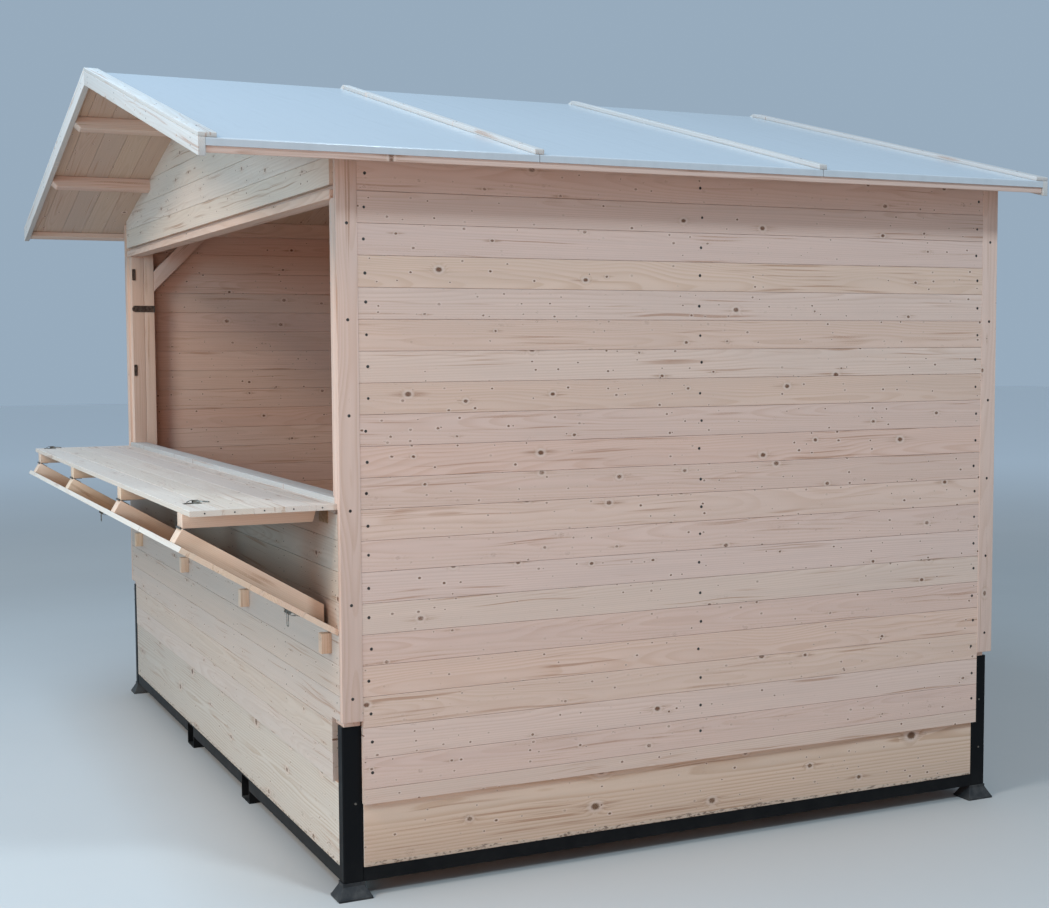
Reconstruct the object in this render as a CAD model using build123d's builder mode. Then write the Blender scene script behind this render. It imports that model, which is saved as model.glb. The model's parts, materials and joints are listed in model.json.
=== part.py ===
# Wooden market stall with a folding serving counter, on a black steel base frame.
# X runs to the right, Y to the rear, Z up. The serving side faces -Y.
# The origin is on the ground, in the middle of the overall plan. Millimetres.

from build123d import *
import os
from math import atan2, cos, degrees, sin, tan, radians

os.makedirs("parts", exist_ok=True)

# Walls in plan
stall_width = 3025.0
stall_depth = 2320.0
board = 19.0
stud_depth = 70.0
stud_width = 45.0
front_stud_places = (-960.0, -320.0, 320.0, 960.0)
fit_gap = 0.3

# Steel base
foot_flare = 21.0
foot_height = 46.0
foot_plinth = 6.0
foot_wall = 3.0
foot_socket = 6.0
tube = 60.0
tube_width = 40.0
tube_wall = 3.0
tube_round = 4.0
tube_top = 494.0
tube_side_setback = 20.5
tube_end_setback = 5.0
rail = 40.0
rail_wall = 2.5
rail_setback = 2.0
pocket_width = 100.0
pocket_wall = 4.0
pocket_spacing = 828.0
bearer_spacing = 760.0

# Floor and base panels
floor_thickness = 22.0
floor_gap = 1.0
base_panel = 28.0
panel_lap = 38.0
front_panel_top = 325.0

# Walls in height
cladding_bottom = 272.0
trim_bottom = 511.0
trim_width = 62.0
trim_proud = 1.0
board_end_gap = 1.0
notch_width = 73.5
jamb_rebate = 11.0
jamb_strip_width = 25.0
post_foot = 50.0
header_bottom = 1967.0
header_batten = 25.0
header_groove = 13.0
gable_inset = 52.5
lintel_height = 120.0
plate_height = 45.0

# Side wall braces, at 45 degrees under the top plates
brace_width = 64.0
brace_reach = 254.0

# Roof
header_to_roof = 162.0
roof_pitch = 14.5
eave_overhang = 155.5
front_overhang = 410.0
rear_overhang = 70.0
sheet = 4.0
deck = 16.0
drip_lip = 6.0
drip_height = 21.0
drip_round = 5.0
barge_thickness = 20.0
barge_height = 48.0
ridge_joint = 1.0
cap_width = 49.0
cap_thickness = 12.0
seam_batten_width = 28.0
seam_batten_thickness = 14.0
sheet_cover = 954.0
sheet_joint = 2.0
purlin = 45.0
purlin_bevel = 18.0
purlin_places = (372.5, 992.0)
eave_rail_width = 45.0
eave_rail_height = 20.0
ridge_beam_width = 45.0
ridge_beam_height = 95.0

# Serving counter
counter_top = 1124.0
counter_reach = 410.0
counter_board = 16.0
leaf_inset = 3.5
rib_width = 60.0
rib_depth = 40.0
flap_rib_depth = 45.0
rib_places = (-1370.0, -480.0, 480.0, 1370.0)
rib_wall_gap = 30.0
rib_bevel = 11.0
flap_rib_wall_gap = 12.0
flap_pivot_height = 824.0
sill_rise = 16.0
sill_depth = 62.0
hinge_length = 50.0
hinge_radius = 3.0
hinge_leaf = 2.0
hinge_reach = 32.0
counter_hinge_length = 80.0
counter_hinge_radius = 5.0
counter_hinge_leaf = 46.0

# Blocks under the foot of the flap
block_width = 28.0
block_depth = 31.0
block_height = 58.0
block_drop = 0.5
block_first = 1414.0
block_pitch = 890.0

# Doorway in the rear wall
door_width = 810.0
door_top = 2000.0
door_gap = 3.0
door_stop = 20.0
door_post_width = 45.0

# Toggle latches, hasps and strike plates
latch_plate = (22.0, 50.0, 2.0)
latch_lever = (14.0, 34.0, 9.0)
latch_round = 4.0
latch_bail = (18.0, 36.0)
latch_wire = 3.0
top_latch_places = (-1440.0, 1284.0)
top_latch_setback = 55.0
under_latch_inset = 24.0
under_latch_distance = 148.0
hasp_height = 28.0
hasp_length = 85.0
hasp_thickness = 3.0
hasp_tab = 12.0
hasp_level = 1736.0
strike = (14.0, 50.0)
strike_levels = (1463.0, 1887.0)
strike_inset = 3.0

# Fittings of the rear door
door_hinge = (36.0, 100.0)
door_hinge_levels = (400.0, 1700.0)
door_hinge_radius = 6.0
door_handle_level = 1050.0
door_handle_length = 160.0
door_handle_reach = 42.0
door_handle_bar = 14.0
door_handle_inset = 60.0

# Places that follow from the sizes above
half_width = stall_width / 2
slope = tan(radians(roof_pitch))
ridge_height = header_bottom + header_to_roof + half_width * slope
eave_x = half_width + eave_overhang
rail_top = foot_height + rail
floor_top = rail_top + floor_thickness
inner_face = half_width - board
stud_inner = inner_face - stud_depth
leaf_half_width = inner_face - leaf_inset
tube_outer = half_width - tube_side_setback
tube_inner = tube_outer - tube_width
pocket_outer = (pocket_spacing + pocket_width) / 2
pocket_inner = (pocket_spacing - pocket_width) / 2

hinge_height = counter_top - counter_board - rib_depth
flap_run = counter_reach - fit_gap
flap_angle = atan2(hinge_height - flap_pivot_height, flap_run)
flap_depth = flap_rib_depth + counter_board
front_reach = counter_reach + flap_depth * sin(flap_angle)
plan_depth = front_reach + stall_depth + rear_overhang
front = front_reach - plan_depth / 2
rear = front + stall_depth

tube_front = front + tube_end_setback
tube_rear = rear - tube_end_setback
rail_front = tube_front + rail_setback
rail_rear = tube_rear - rail_setback
post_front = front + board
roof_front = front - front_overhang
roof_rear = rear + rear_overhang
roof_length = roof_rear - roof_front
side_panel_top = cladding_bottom + panel_lap
board_notch = inner_face - notch_width
sill_top = counter_top + sill_rise
sill_bottom = sill_top - stud_width
deck_front = roof_front + barge_thickness
deck_rear = roof_rear - barge_thickness


def roof_z(x):
    """Height of the top of the roof sheet at a distance x from the ridge line."""
    return ridge_height - abs(x) * slope


def soffit_z(x):
    """Height of the underside of the roof boards at a distance x from the ridge line."""
    return roof_z(x) - (sheet + deck) / cos(radians(roof_pitch))


def bar(x, y, z):
    """One square-cut length, from its low and high ends on each axis."""
    with Locations(((x[0] + x[1]) / 2, (y[0] + y[1]) / 2, (z[0] + z[1]) / 2)):
        Box(x[1] - x[0], y[1] - y[0], z[1] - z[0])


def mirrored(span, side):
    """A span on the X axis, taken to the left side when side is -1."""
    return tuple(sorted((span[0] * side, span[1] * side)))


def cross_profile(points, y_rear, length):
    """A closed outline in X and Z, run forward from y_rear."""
    with BuildSketch(Plane.XZ.offset(-y_rear)) as profile:
        with BuildLine():
            Polyline(*points, close=True)
        make_face()
    extrude(profile.sketch, amount=length)


def side_profile(points, x_low, length):
    """A closed outline in Y and Z, run to the right from x_low."""
    with BuildSketch(Plane.YZ.offset(x_low)) as profile:
        with BuildLine():
            Polyline(*points, close=True)
        make_face()
    extrude(profile.sketch, amount=length)


def write(part, name):
    """Label a finished piece and write its file."""
    part.label = name
    export_step(part, f"parts/{name}.step")


both_sides = (1, -1)
tube_spans = ((tube_front, tube_front + tube), (tube_rear - tube, tube_rear))

# Steel base frame
tube_bottom = foot_height - foot_socket
with BuildPart() as corner_tubes:
    for side in both_sides:
        for span in tube_spans:
            x_mid = side * (tube_inner + tube_outer) / 2
            y_mid = sum(span) / 2
            with BuildSketch(Plane.XY.offset(tube_bottom)):
                with Locations((x_mid, y_mid)):
                    RectangleRounded(tube_width, tube, tube_round)
            extrude(amount=tube_top - tube_bottom)
            with BuildSketch(Plane.XY.offset(tube_bottom)):
                with Locations((x_mid, y_mid)):
                    Rectangle(tube_width - 2 * tube_wall, tube - 2 * tube_wall)
            extrude(amount=tube_top - tube_bottom - tube_wall, mode=Mode.SUBTRACT)
write(corner_tubes.part, "corner_tubes")

collar = (tube_width + 2 * foot_wall, tube + 2 * foot_wall)
flare = (tube_width + 2 * foot_flare, tube + 2 * foot_flare)
shoulder = (flare[0] - foot_wall, flare[1] - foot_wall)
socket = (tube_width + 2 * fit_gap, tube + 2 * fit_gap)
collar_bottom = tube_bottom - foot_socket / 2
with BuildPart() as foot_pads:
    for side in both_sides:
        for span in tube_spans:
            place = (side * (tube_inner + tube_outer) / 2, sum(span) / 2)
            with BuildSketch(Plane.XY):
                with Locations(place):
                    RectangleRounded(*flare, foot_wall)
            extrude(amount=foot_plinth)
            with BuildSketch(Plane.XY.offset(foot_plinth)):
                with Locations(place):
                    RectangleRounded(*shoulder, foot_wall)
            with BuildSketch(Plane.XY.offset(collar_bottom)):
                with Locations(place):
                    RectangleRounded(*collar, tube_round)
            loft()
            with BuildSketch(Plane.XY.offset(collar_bottom)):
                with Locations(place):
                    RectangleRounded(*collar, tube_round)
            extrude(amount=foot_socket * 1.5)
            with BuildSketch(Plane.XY.offset(tube_bottom)):
                with Locations(place):
                    RectangleRounded(*socket, tube_round)
            extrude(amount=foot_socket, mode=Mode.SUBTRACT)
write(foot_pads.part, "foot_pads")


def hollow_rail(x, y, along):
    """One square tube of the base frame, open at its two ends."""
    z = (foot_height, rail_top)
    bar(x, y, z)
    inner = [(span[0] + rail_wall, span[1] - rail_wall) for span in (x, y, z)]
    inner[along] = (x, y, z)[along]
    (x_in, y_in, z_in) = inner
    with Locations((sum(x_in) / 2, sum(y_in) / 2, sum(z_in) / 2)):
        Box(x_in[1] - x_in[0], y_in[1] - y_in[0], z_in[1] - z_in[0], mode=Mode.SUBTRACT)


rail_spans = ((-tube_inner, -pocket_outer), (-pocket_inner, pocket_inner), (pocket_outer, tube_inner))

with BuildPart() as base_rails:
    for span in rail_spans:
        hollow_rail(span, (rail_front, rail_front + rail), along=0)
        hollow_rail(span, (rail_rear - rail, rail_rear), along=0)
    for side in both_sides:
        ends = (tube_front + tube, tube_rear - tube)
        hollow_rail(mirrored((tube_outer - rail, tube_outer), side), ends, along=1)
write(base_rails.part, "base_rails")

with BuildPart() as fork_pockets:
    for side in both_sides:
        bar(mirrored((pocket_inner, pocket_outer), side), (rail_front, rail_rear), (0, rail_top))
        with Locations((side * pocket_spacing / 2, (rail_front + rail_rear) / 2, rail_top / 2)):
            Box(
                pocket_width - 2 * pocket_wall,
                rail_rear - rail_front,
                rail_top - 2 * pocket_wall,
                mode=Mode.SUBTRACT,
            )
write(fork_pockets.part, "fork_pockets")

bearer_middle = (tube_front + tube_rear) / 2
bearer_spans = (
    (-(tube_outer - rail), -pocket_outer),
    (-pocket_inner, pocket_inner),
    (pocket_outer, tube_outer - rail),
)
with BuildPart() as floor_bearers:
    for row in (-1, 1):
        y_mid = bearer_middle + row * bearer_spacing / 2
        for span in bearer_spans:
            hollow_rail(span, (y_mid - rail / 2, y_mid + rail / 2), along=0)
write(floor_bearers.part, "floor_bearers")

# Floor and the wide base panels that stand on the rails
side_panel_inner = inner_face - base_panel
floor_half = side_panel_inner - floor_gap
floor_front = rail_front + base_panel + floor_gap
floor_rear = rail_rear - base_panel - floor_gap
with BuildPart() as floor_deck:
    bar((-floor_half, floor_half), (floor_front, floor_rear), (rail_top, floor_top))
    for side in both_sides:
        for span in tube_spans:
            with Locations((side * (tube_inner + tube_outer) / 2, sum(span) / 2, rail_top)):
                clear = 2 * floor_gap
                Box(tube_width + clear, tube + clear, 2 * floor_thickness + 1, mode=Mode.SUBTRACT)
write(floor_deck.part, "floor_deck")

panel_ends = (tube_front + tube + floor_gap, tube_rear - tube - floor_gap)
panel_half = tube_inner - floor_gap
door_half = door_width / 2
door_post_inner = door_half - door_stop
door_post_outer = door_post_inner + door_post_width
rear_panel_span = (rail_rear - base_panel, rail_rear)
with BuildPart() as base_panels:
    bar((-panel_half, panel_half), (rail_front, rail_front + base_panel), (rail_top, front_panel_top))
    for side in both_sides:
        bar(mirrored((side_panel_inner, inner_face), side), panel_ends, (rail_top, side_panel_top))
        bar(mirrored((door_post_outer, panel_half), side), rear_panel_span, (rail_top, front_panel_top))
    threshold_half = door_post_outer - floor_gap
    bar((-threshold_half, threshold_half), rear_panel_span, (rail_top, floor_top))
write(base_panels.part, "base_panels")

# Timber frame
post_spans = ((post_front, post_front + stud_width), (rear - board - stud_width, rear - board))
plate_under = soffit_z(inner_face) - plate_height
with BuildPart() as corner_posts:
    for side in both_sides:
        for span, top in zip(post_spans, (sill_bottom, plate_under)):
            bar(mirrored((stud_inner, inner_face), side), span, (trim_bottom, top))
write(corner_posts.part, "corner_posts")

foot_end = tube_front + (tube - post_foot) / 2
with BuildPart() as post_feet:
    for side in both_sides:
        for span in ((foot_end, foot_end + post_foot), (tube_rear - tube, post_spans[1][1])):
            bar(mirrored((stud_inner, tube_outer), side), span, (tube_top, trim_bottom))
write(post_feet.part, "post_feet")

stud_front = post_spans[0][1] + floor_gap
jamb_rear = stud_front - fit_gap
with BuildPart() as front_jambs:
    for side in both_sides:
        outline = [
            (side * inner_face, front),
            (side * (inner_face - jamb_strip_width), front),
            (side * (inner_face - jamb_strip_width), front + jamb_rebate),
            (side * stud_inner, front + jamb_rebate),
            (side * stud_inner, jamb_rear),
            (side * inner_face, jamb_rear),
        ]
        with BuildSketch(Plane.XY.offset(sill_top)) as jamb_section:
            with BuildLine():
                Polyline(*outline, close=True)
            make_face()
        extrude(jamb_section.sketch, amount=header_bottom - sill_top)
        strip = mirrored((inner_face - jamb_strip_width, inner_face), side)
        bar(strip, (front, front + jamb_rebate), (counter_top - counter_board, sill_top))
        head = (front + board, jamb_rear)
        bar(mirrored((stud_inner, inner_face), side), head, (header_bottom, plate_under))
write(front_jambs.part, "front_jambs")

stud_rear = post_spans[1][0] - floor_gap
sole_top = side_panel_top + stud_width
with BuildPart() as wall_plates:
    for side in both_sides:
        bar(mirrored((stud_inner, inner_face), side), (stud_front, stud_rear), (side_panel_top, sole_top))
        outline = [
            (side * stud_inner, plate_under),
            (side * inner_face, plate_under),
            (side * inner_face, soffit_z(inner_face)),
            (side * stud_inner, soffit_z(stud_inner)),
        ]
        cross_profile(outline, post_spans[1][1], post_spans[1][1] - post_front)
write(wall_plates.part, "wall_plates")

stud_middle = (front + rear) / 2
stud_spans = (
    (stud_front, stud_front + stud_width),
    (stud_middle - stud_width / 2, stud_middle + stud_width / 2),
    (stud_rear - stud_width, stud_rear),
)
with BuildPart() as wall_studs:
    for side in both_sides:
        for span in stud_spans:
            bar(mirrored((stud_inner, inner_face), side), span, (sole_top, plate_under))
    for place in front_stud_places:
        span = (place - stud_width / 2, place + stud_width / 2)
        bar(span, (post_front, post_front + stud_width), (front_panel_top, sill_bottom))
write(wall_studs.part, "wall_studs")

brace_drop = brace_width / sin(radians(45))
with BuildPart() as wall_braces:
    for side in both_sides:
        for face, turn in ((stud_spans[0][1], 1), (stud_spans[2][0], -1)):
            outline = [
                (face, plate_under - brace_reach + brace_drop),
                (face, plate_under - brace_reach),
                (face + turn * brace_reach, plate_under),
                (face + turn * (brace_reach - brace_drop), plate_under),
            ]
            span = mirrored((stud_inner, stud_inner + stud_width), side)
            side_profile(outline, span[0], stud_width)
write(wall_braces.part, "wall_braces")

sill_end = inner_face - jamb_strip_width
with BuildPart() as counter_sill:
    outline = [
        (-sill_end, front),
        (sill_end, front),
        (sill_end, front + jamb_rebate),
        (inner_face, front + jamb_rebate),
        (inner_face, front + sill_depth),
        (-inner_face, front + sill_depth),
        (-inner_face, front + jamb_rebate),
        (-sill_end, front + jamb_rebate),
    ]
    with BuildSketch(Plane.XY.offset(sill_bottom)) as sill_plan:
        with BuildLine():
            Polyline(*outline, close=True)
        make_face()
    extrude(sill_plan.sketch, amount=sill_top - sill_bottom)
write(counter_sill.part, "counter_sill")

lintel_front = front + board
with BuildPart() as door_posts:
    for side in both_sides:
        span = mirrored((door_post_inner, door_post_outer), side)
        bar(span, (rear - board - stud_width, rear - board), (floor_top, door_top + door_stop))
write(door_posts.part, "door_posts")

tie_bottom = door_top + door_stop
with BuildPart() as wall_lintels:
    lintel_span = (lintel_front, lintel_front + stud_width)
    bar((-stud_inner, stud_inner), lintel_span, (header_bottom, header_bottom + lintel_height))
    tie_span = (rear - board - stud_width, rear - board)
    bar((-stud_inner, stud_inner), tie_span, (tie_bottom, tie_bottom + stud_width))
write(wall_lintels.part, "wall_lintels")

# Boarded walls
wall_ends = (front + trim_width, rear - trim_width)
for side, name in ((1, "right_wall"), (-1, "left_wall")):
    with BuildPart() as side_wall:
        outline = [
            (side * inner_face, cladding_bottom),
            (side * half_width, cladding_bottom),
            (side * half_width, soffit_z(half_width)),
            (side * inner_face, soffit_z(inner_face)),
        ]
        cross_profile(outline, wall_ends[1], wall_ends[1] - wall_ends[0])
    write(side_wall.part, name)

trim_outer = half_width + trim_proud
with BuildPart() as corner_boards:
    for side in both_sides:
        outline = [
            (side * inner_face, trim_bottom),
            (side * trim_outer, trim_bottom),
            (side * trim_outer, soffit_z(trim_outer)),
            (side * inner_face, soffit_z(inner_face)),
        ]
        for y_rear in (front + trim_width, rear):
            cross_profile(outline, y_rear, trim_width)
write(corner_boards.part, "corner_boards")

front_wall_half = inner_face - board_end_gap
front_wall_top = counter_top - counter_board
with BuildPart() as front_wall:
    outline = [
        (-board_notch, front_panel_top),
        (board_notch, front_panel_top),
        (board_notch, trim_bottom),
        (front_wall_half, trim_bottom),
        (front_wall_half, sill_bottom),
        (-front_wall_half, sill_bottom),
        (-front_wall_half, trim_bottom),
        (-board_notch, trim_bottom),
    ]
    cross_profile(outline, post_front, board)
write(front_wall.part, "front_wall")

gable_half = half_width - gable_inset
gable_bottom = header_bottom + header_batten + header_groove
gable_span = (front, lintel_front)
with BuildPart() as header_board:
    bar((-gable_half, gable_half), gable_span, (header_bottom, header_bottom + header_batten))
write(header_board.part, "header_board")


def purlin_outline(along, side):
    """Corners of one roof timber set square to the slope, at a distance from the ridge."""
    pitch = radians(roof_pitch)
    corners = []
    for u, w in ((-1, 0), (1, 0), (1, 1), (-1, 1)):
        run = along + u * purlin / 2
        drop = (sheet + deck) + w * purlin
        corners.append((side * (run * cos(pitch) - drop * sin(pitch)), ridge_height - run * sin(pitch) - drop * cos(pitch)))
    return corners


def cut_roof_timbers(y_rear, length):
    """Notches in a gable for the roof timbers that pass through it."""
    for side in both_sides:
        for along in purlin_places:
            with BuildSketch(Plane.XZ.offset(-y_rear)) as notch:
                with BuildLine():
                    Polyline(*purlin_outline(along, side), close=True)
                make_face()
            extrude(notch.sketch, amount=length, mode=Mode.SUBTRACT)


def gable(half, bottom, y_rear, thickness):
    """A boarded gable under both slopes of the roof."""
    outline = [
        (-half, bottom),
        (half, bottom),
        (half, soffit_z(half)),
        (0, soffit_z(0)),
        (-half, soffit_z(half)),
    ]
    cross_profile(outline, y_rear, thickness)
    cut_roof_timbers(y_rear, thickness)


with BuildPart() as front_gable:
    gable(gable_half, gable_bottom, gable_span[1], board)
write(front_gable.part, "front_gable")

rear_half = inner_face - board_end_gap
rear_wall_span = (rear - board, rear)
with BuildPart() as rear_gable:
    gable(rear_half, door_top, rear, board)
write(rear_gable.part, "rear_gable")

with BuildPart() as rear_wall:
    for side in both_sides:
        outline = [
            (side * door_half, front_panel_top),
            (side * board_notch, front_panel_top),
            (side * board_notch, trim_bottom),
            (side * rear_half, trim_bottom),
            (side * rear_half, door_top),
            (side * door_half, door_top),
        ]
        cross_profile(outline, rear, board)
write(rear_wall.part, "rear_wall")

with BuildPart() as rear_door:
    leaf_half = door_half - door_gap
    bar((-leaf_half, leaf_half), rear_wall_span, (floor_top + door_gap, door_top - door_gap))
write(rear_door.part, "rear_door")

# Roof
for side, name in ((1, "right_roof_boards"), (-1, "left_roof_boards")):
    with BuildPart() as roof_boards:
        board_drop = sheet / cos(radians(roof_pitch))
        board_edge = eave_x - drip_lip
        outline = [
            (0, ridge_height - board_drop),
            (side * board_edge, roof_z(board_edge) - board_drop),
            (side * board_edge, soffit_z(board_edge)),
            (0, soffit_z(0)),
        ]
        cross_profile(outline, deck_rear, deck_rear - deck_front)
    write(roof_boards.part, name)

seams = [deck_front, roof_front + sheet_cover, roof_front + 2 * sheet_cover, deck_rear]
for side, name in ((1, "right_roof_sheets"), (-1, "left_roof_sheets")):
    with BuildPart() as roof_sheets:
        sheet_drop = sheet / cos(radians(roof_pitch))
        lip = eave_x - drip_lip
        outline = [
            (0, ridge_height),
            (side * eave_x, roof_z(eave_x)),
            (side * eave_x, roof_z(eave_x) - drip_height),
            (side * lip, roof_z(eave_x) - drip_height),
            (side * lip, roof_z(lip) - sheet_drop),
            (0, ridge_height - sheet_drop),
        ]
        for start, end in zip(seams[:-1], seams[1:]):
            y_low = start + (sheet_joint / 2 if start > deck_front else 0)
            y_high = end - (sheet_joint / 2 if end < deck_rear else 0)
            with BuildSketch(Plane.XZ.offset(-y_high)) as sheet_end:
                with BuildLine():
                    Polyline(*outline, close=True)
                make_face()
                outer = sheet_end.vertices().group_by(Axis.X)[-1 if side > 0 else 0]
                fillet(outer.sort_by(Axis.Y)[-1], radius=drip_round)
            extrude(amount=y_high - y_low)
    write(roof_sheets.part, name)


def slope_outline(side, lift, depth):
    """A strip down one slope, from the ridge joint to the eave, whose top is lift above the sheet."""
    rise = lift / cos(radians(roof_pitch))
    start = ridge_joint / 2
    return [
        (side * start, roof_z(start) + rise),
        (side * eave_x, roof_z(eave_x) + rise),
        (side * eave_x, roof_z(eave_x) + rise - depth),
        (side * start, roof_z(start) + rise - depth),
    ]


with BuildPart() as barge_boards:
    for side in both_sides:
        for y_rear in (deck_front, roof_rear):
            cross_profile(slope_outline(side, 0, barge_height), y_rear, barge_thickness)
write(barge_boards.part, "barge_boards")

cap_drop = cap_thickness / cos(radians(roof_pitch))
with BuildPart() as verge_caps:
    for side in both_sides:
        for y_rear in (roof_front + cap_width, roof_rear):
            cross_profile(slope_outline(side, cap_thickness, cap_drop), y_rear, cap_width)
write(verge_caps.part, "verge_caps")

batten_drop = seam_batten_thickness / cos(radians(roof_pitch))
with BuildPart() as seam_battens:
    for side in both_sides:
        for seam in seams[1:-1]:
            outline = slope_outline(side, seam_batten_thickness, batten_drop)
            cross_profile(outline, seam + seam_batten_width / 2, seam_batten_width)
write(seam_battens.part, "seam_battens")

with BuildPart() as purlins:
    for side in both_sides:
        for along in purlin_places:
            cross_profile(purlin_outline(along, side), deck_rear, deck_rear - deck_front)
    front_ends = purlins.faces().filter_by(Axis.Y).group_by(Axis.Y)[0]
    chamfer([end.edges().sort_by(Axis.Z)[0] for end in front_ends], length=purlin_bevel)
write(purlins.part, "purlins")

with BuildPart() as eave_rails:
    for side in both_sides:
        x_high = eave_x - drip_lip
        x_low = x_high - eave_rail_width
        outline = [
            (side * x_low, soffit_z(x_low)),
            (side * x_high, soffit_z(x_high)),
            (side * x_high, soffit_z(x_high) - eave_rail_height),
            (side * x_low, soffit_z(x_low) - eave_rail_height),
        ]
        cross_profile(outline, deck_rear, deck_rear - deck_front)
write(eave_rails.part, "eave_rails")

with BuildPart() as ridge_beam:
    half = ridge_beam_width / 2
    outline = [
        (-half, soffit_z(0) - ridge_beam_height),
        (half, soffit_z(0) - ridge_beam_height),
        (half, soffit_z(half)),
        (0, soffit_z(0)),
        (-half, soffit_z(half)),
    ]
    cross_profile(outline, rear - board, rear - board - lintel_front)
write(ridge_beam.part, "ridge_beam")

# Folding counter: the upper leaf lies flat, the lower flap slopes up to its outer edge
wall_face = front - fit_gap
leaf_front = front - counter_reach
with BuildPart() as counter_boards:
    bar((-leaf_half_width, leaf_half_width), (leaf_front, wall_face), (front_wall_top, counter_top))
write(counter_boards.part, "counter_boards")

with BuildPart() as counter_ribs:
    for x_mid in rib_places:
        outline = [
            (leaf_front, hinge_height),
            (wall_face - rib_wall_gap - rib_bevel, hinge_height),
            (wall_face - rib_wall_gap, front_wall_top),
            (leaf_front, front_wall_top),
        ]
        side_profile(outline, x_mid - rib_width / 2, rib_width)
write(counter_ribs.part, "counter_ribs")

out_y = -sin(flap_angle)
out_z = -cos(flap_angle)
flap_rib_outer = (leaf_front + flap_rib_depth * out_y, hinge_height + flap_rib_depth * out_z)
flap_rib_inner = (wall_face, flap_pivot_height - flap_rib_depth / cos(flap_angle))
flap_board_outer = (leaf_front + flap_depth * out_y, hinge_height + flap_depth * out_z)
flap_board_inner = (wall_face, flap_pivot_height - flap_depth / cos(flap_angle))
hinge_line = (leaf_front, hinge_height - fit_gap)
rib_end = wall_face - flap_rib_wall_gap
rise = flap_rib_wall_gap * tan(flap_angle)
with BuildPart() as flap_ribs:
    for x_mid in rib_places:
        outline = [
            (rib_end, flap_pivot_height + rise - fit_gap),
            hinge_line,
            flap_rib_outer,
            (rib_end, flap_rib_inner[1] + rise),
        ]
        side_profile(outline, x_mid - rib_width / 2, rib_width)
write(flap_ribs.part, "flap_ribs")

with BuildPart() as flap_boards:
    outline = [flap_rib_inner, flap_rib_outer, flap_board_outer, flap_board_inner]
    side_profile(outline, -leaf_half_width, 2 * leaf_half_width)
write(flap_boards.part, "flap_boards")

# Each flap hinge is folded between the meeting edges of two ribs, with its barrel out in front
half_fold = (radians(180) - flap_angle) / 2
barrel_set = hinge_radius + fit_gap
barrel = (leaf_front - barrel_set, hinge_height + barrel_set / tan(half_fold))
lower_root = (hinge_line[0] + hinge_leaf * sin(flap_angle), hinge_line[1] + hinge_leaf * cos(flap_angle))
lower_tip = (hinge_reach * cos(flap_angle), -hinge_reach * sin(flap_angle))
fold_run = (lower_root[1] - hinge_height + hinge_leaf) / tan(flap_angle)
with BuildPart() as flap_hinges:
    for x_mid in rib_places:
        with Locations(Location((x_mid, *barrel), (0, 90, 0))):
            Cylinder(hinge_radius, hinge_length)
        outline = [
            (leaf_front, hinge_height),
            (leaf_front + hinge_reach, hinge_height),
            (leaf_front + hinge_reach, hinge_height - hinge_leaf),
            (lower_root[0] + fold_run, hinge_height - hinge_leaf),
            (lower_root[0] + lower_tip[0], lower_root[1] + lower_tip[1]),
            (hinge_line[0] + lower_tip[0], hinge_line[1] + lower_tip[1]),
            hinge_line,
        ]
        side_profile(outline, x_mid - hinge_length / 2, hinge_length)
write(flap_hinges.part, "flap_hinges")

# Each counter hinge has one leaf on the wall and one under the counter, behind a rib's end
knuckle = (wall_face - counter_hinge_radius, front_wall_top - counter_hinge_radius)
with BuildPart() as counter_hinges:
    for x_mid in rib_places:
        span = (x_mid - counter_hinge_length / 2, x_mid + counter_hinge_length / 2)
        with Locations(Location((x_mid, *knuckle), (0, 90, 0))):
            Cylinder(counter_hinge_radius, counter_hinge_length)
        wall_leaf = (front_wall_top - counter_hinge_leaf, knuckle[1])
        bar(span, (wall_face - hinge_leaf, wall_face), wall_leaf)
        under_leaf = (wall_face - rib_wall_gap + fit_gap, knuckle[0])
        bar(span, under_leaf, (front_wall_top - hinge_leaf, front_wall_top))
write(counter_hinges.part, "counter_hinges")

with BuildPart() as support_blocks:
    for step in range(len(rib_places)):
        x_mid = block_first - step * block_pitch
        span = (x_mid - block_width / 2, x_mid + block_width / 2)
        top = flap_board_inner[1] - block_drop
        bar(span, (front - block_depth, front), (top - block_height, top))
write(support_blocks.part, "support_blocks")



def toggle_latch(plane):
    """A plate, its lever and its wire bail, lying on a plane and pointing along its Y axis."""
    (plate_width, plate_length, plate_thickness) = latch_plate
    (lever_width, lever_length, lever_height) = latch_lever
    (bail_width, bail_length) = latch_bail
    with BuildSketch(plane) as plate_outline:
        RectangleRounded(plate_width, plate_length, latch_round)
    extrude(plate_outline.sketch, amount=plate_thickness)
    with BuildSketch(plane.offset(plate_thickness)) as lever_outline:
        RectangleRounded(lever_width, lever_length, latch_round)
    extrude(lever_outline.sketch, amount=lever_height)
    bail_centre = lever_length / 2 + bail_length / 2 - latch_wire
    with BuildSketch(plane.offset(plate_thickness)) as bail_outline:
        with Locations((0, bail_centre)):
            RectangleRounded(bail_width, bail_length, latch_round)
            inner = (bail_width - 2 * latch_wire, bail_length - 2 * latch_wire)
            RectangleRounded(*inner, latch_round / 2, mode=Mode.SUBTRACT)
    extrude(bail_outline.sketch, amount=latch_wire)


under_y = wall_face - under_latch_distance * cos(flap_angle)
under_z = flap_board_inner[1] + under_latch_distance * sin(flap_angle)
with BuildPart() as toggle_latches:
    for place in top_latch_places:
        toggle_latch(Plane((place, leaf_front + top_latch_setback, counter_top), x_dir=(1, 0, 0)))
    for side in both_sides:
        origin = (side * (leaf_half_width - under_latch_inset), under_y, under_z)
        toggle_latch(Plane(origin, x_dir=(-1, 0, 0), z_dir=(0, out_y, out_z)))
write(toggle_latches.part, "toggle_latches")

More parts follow.
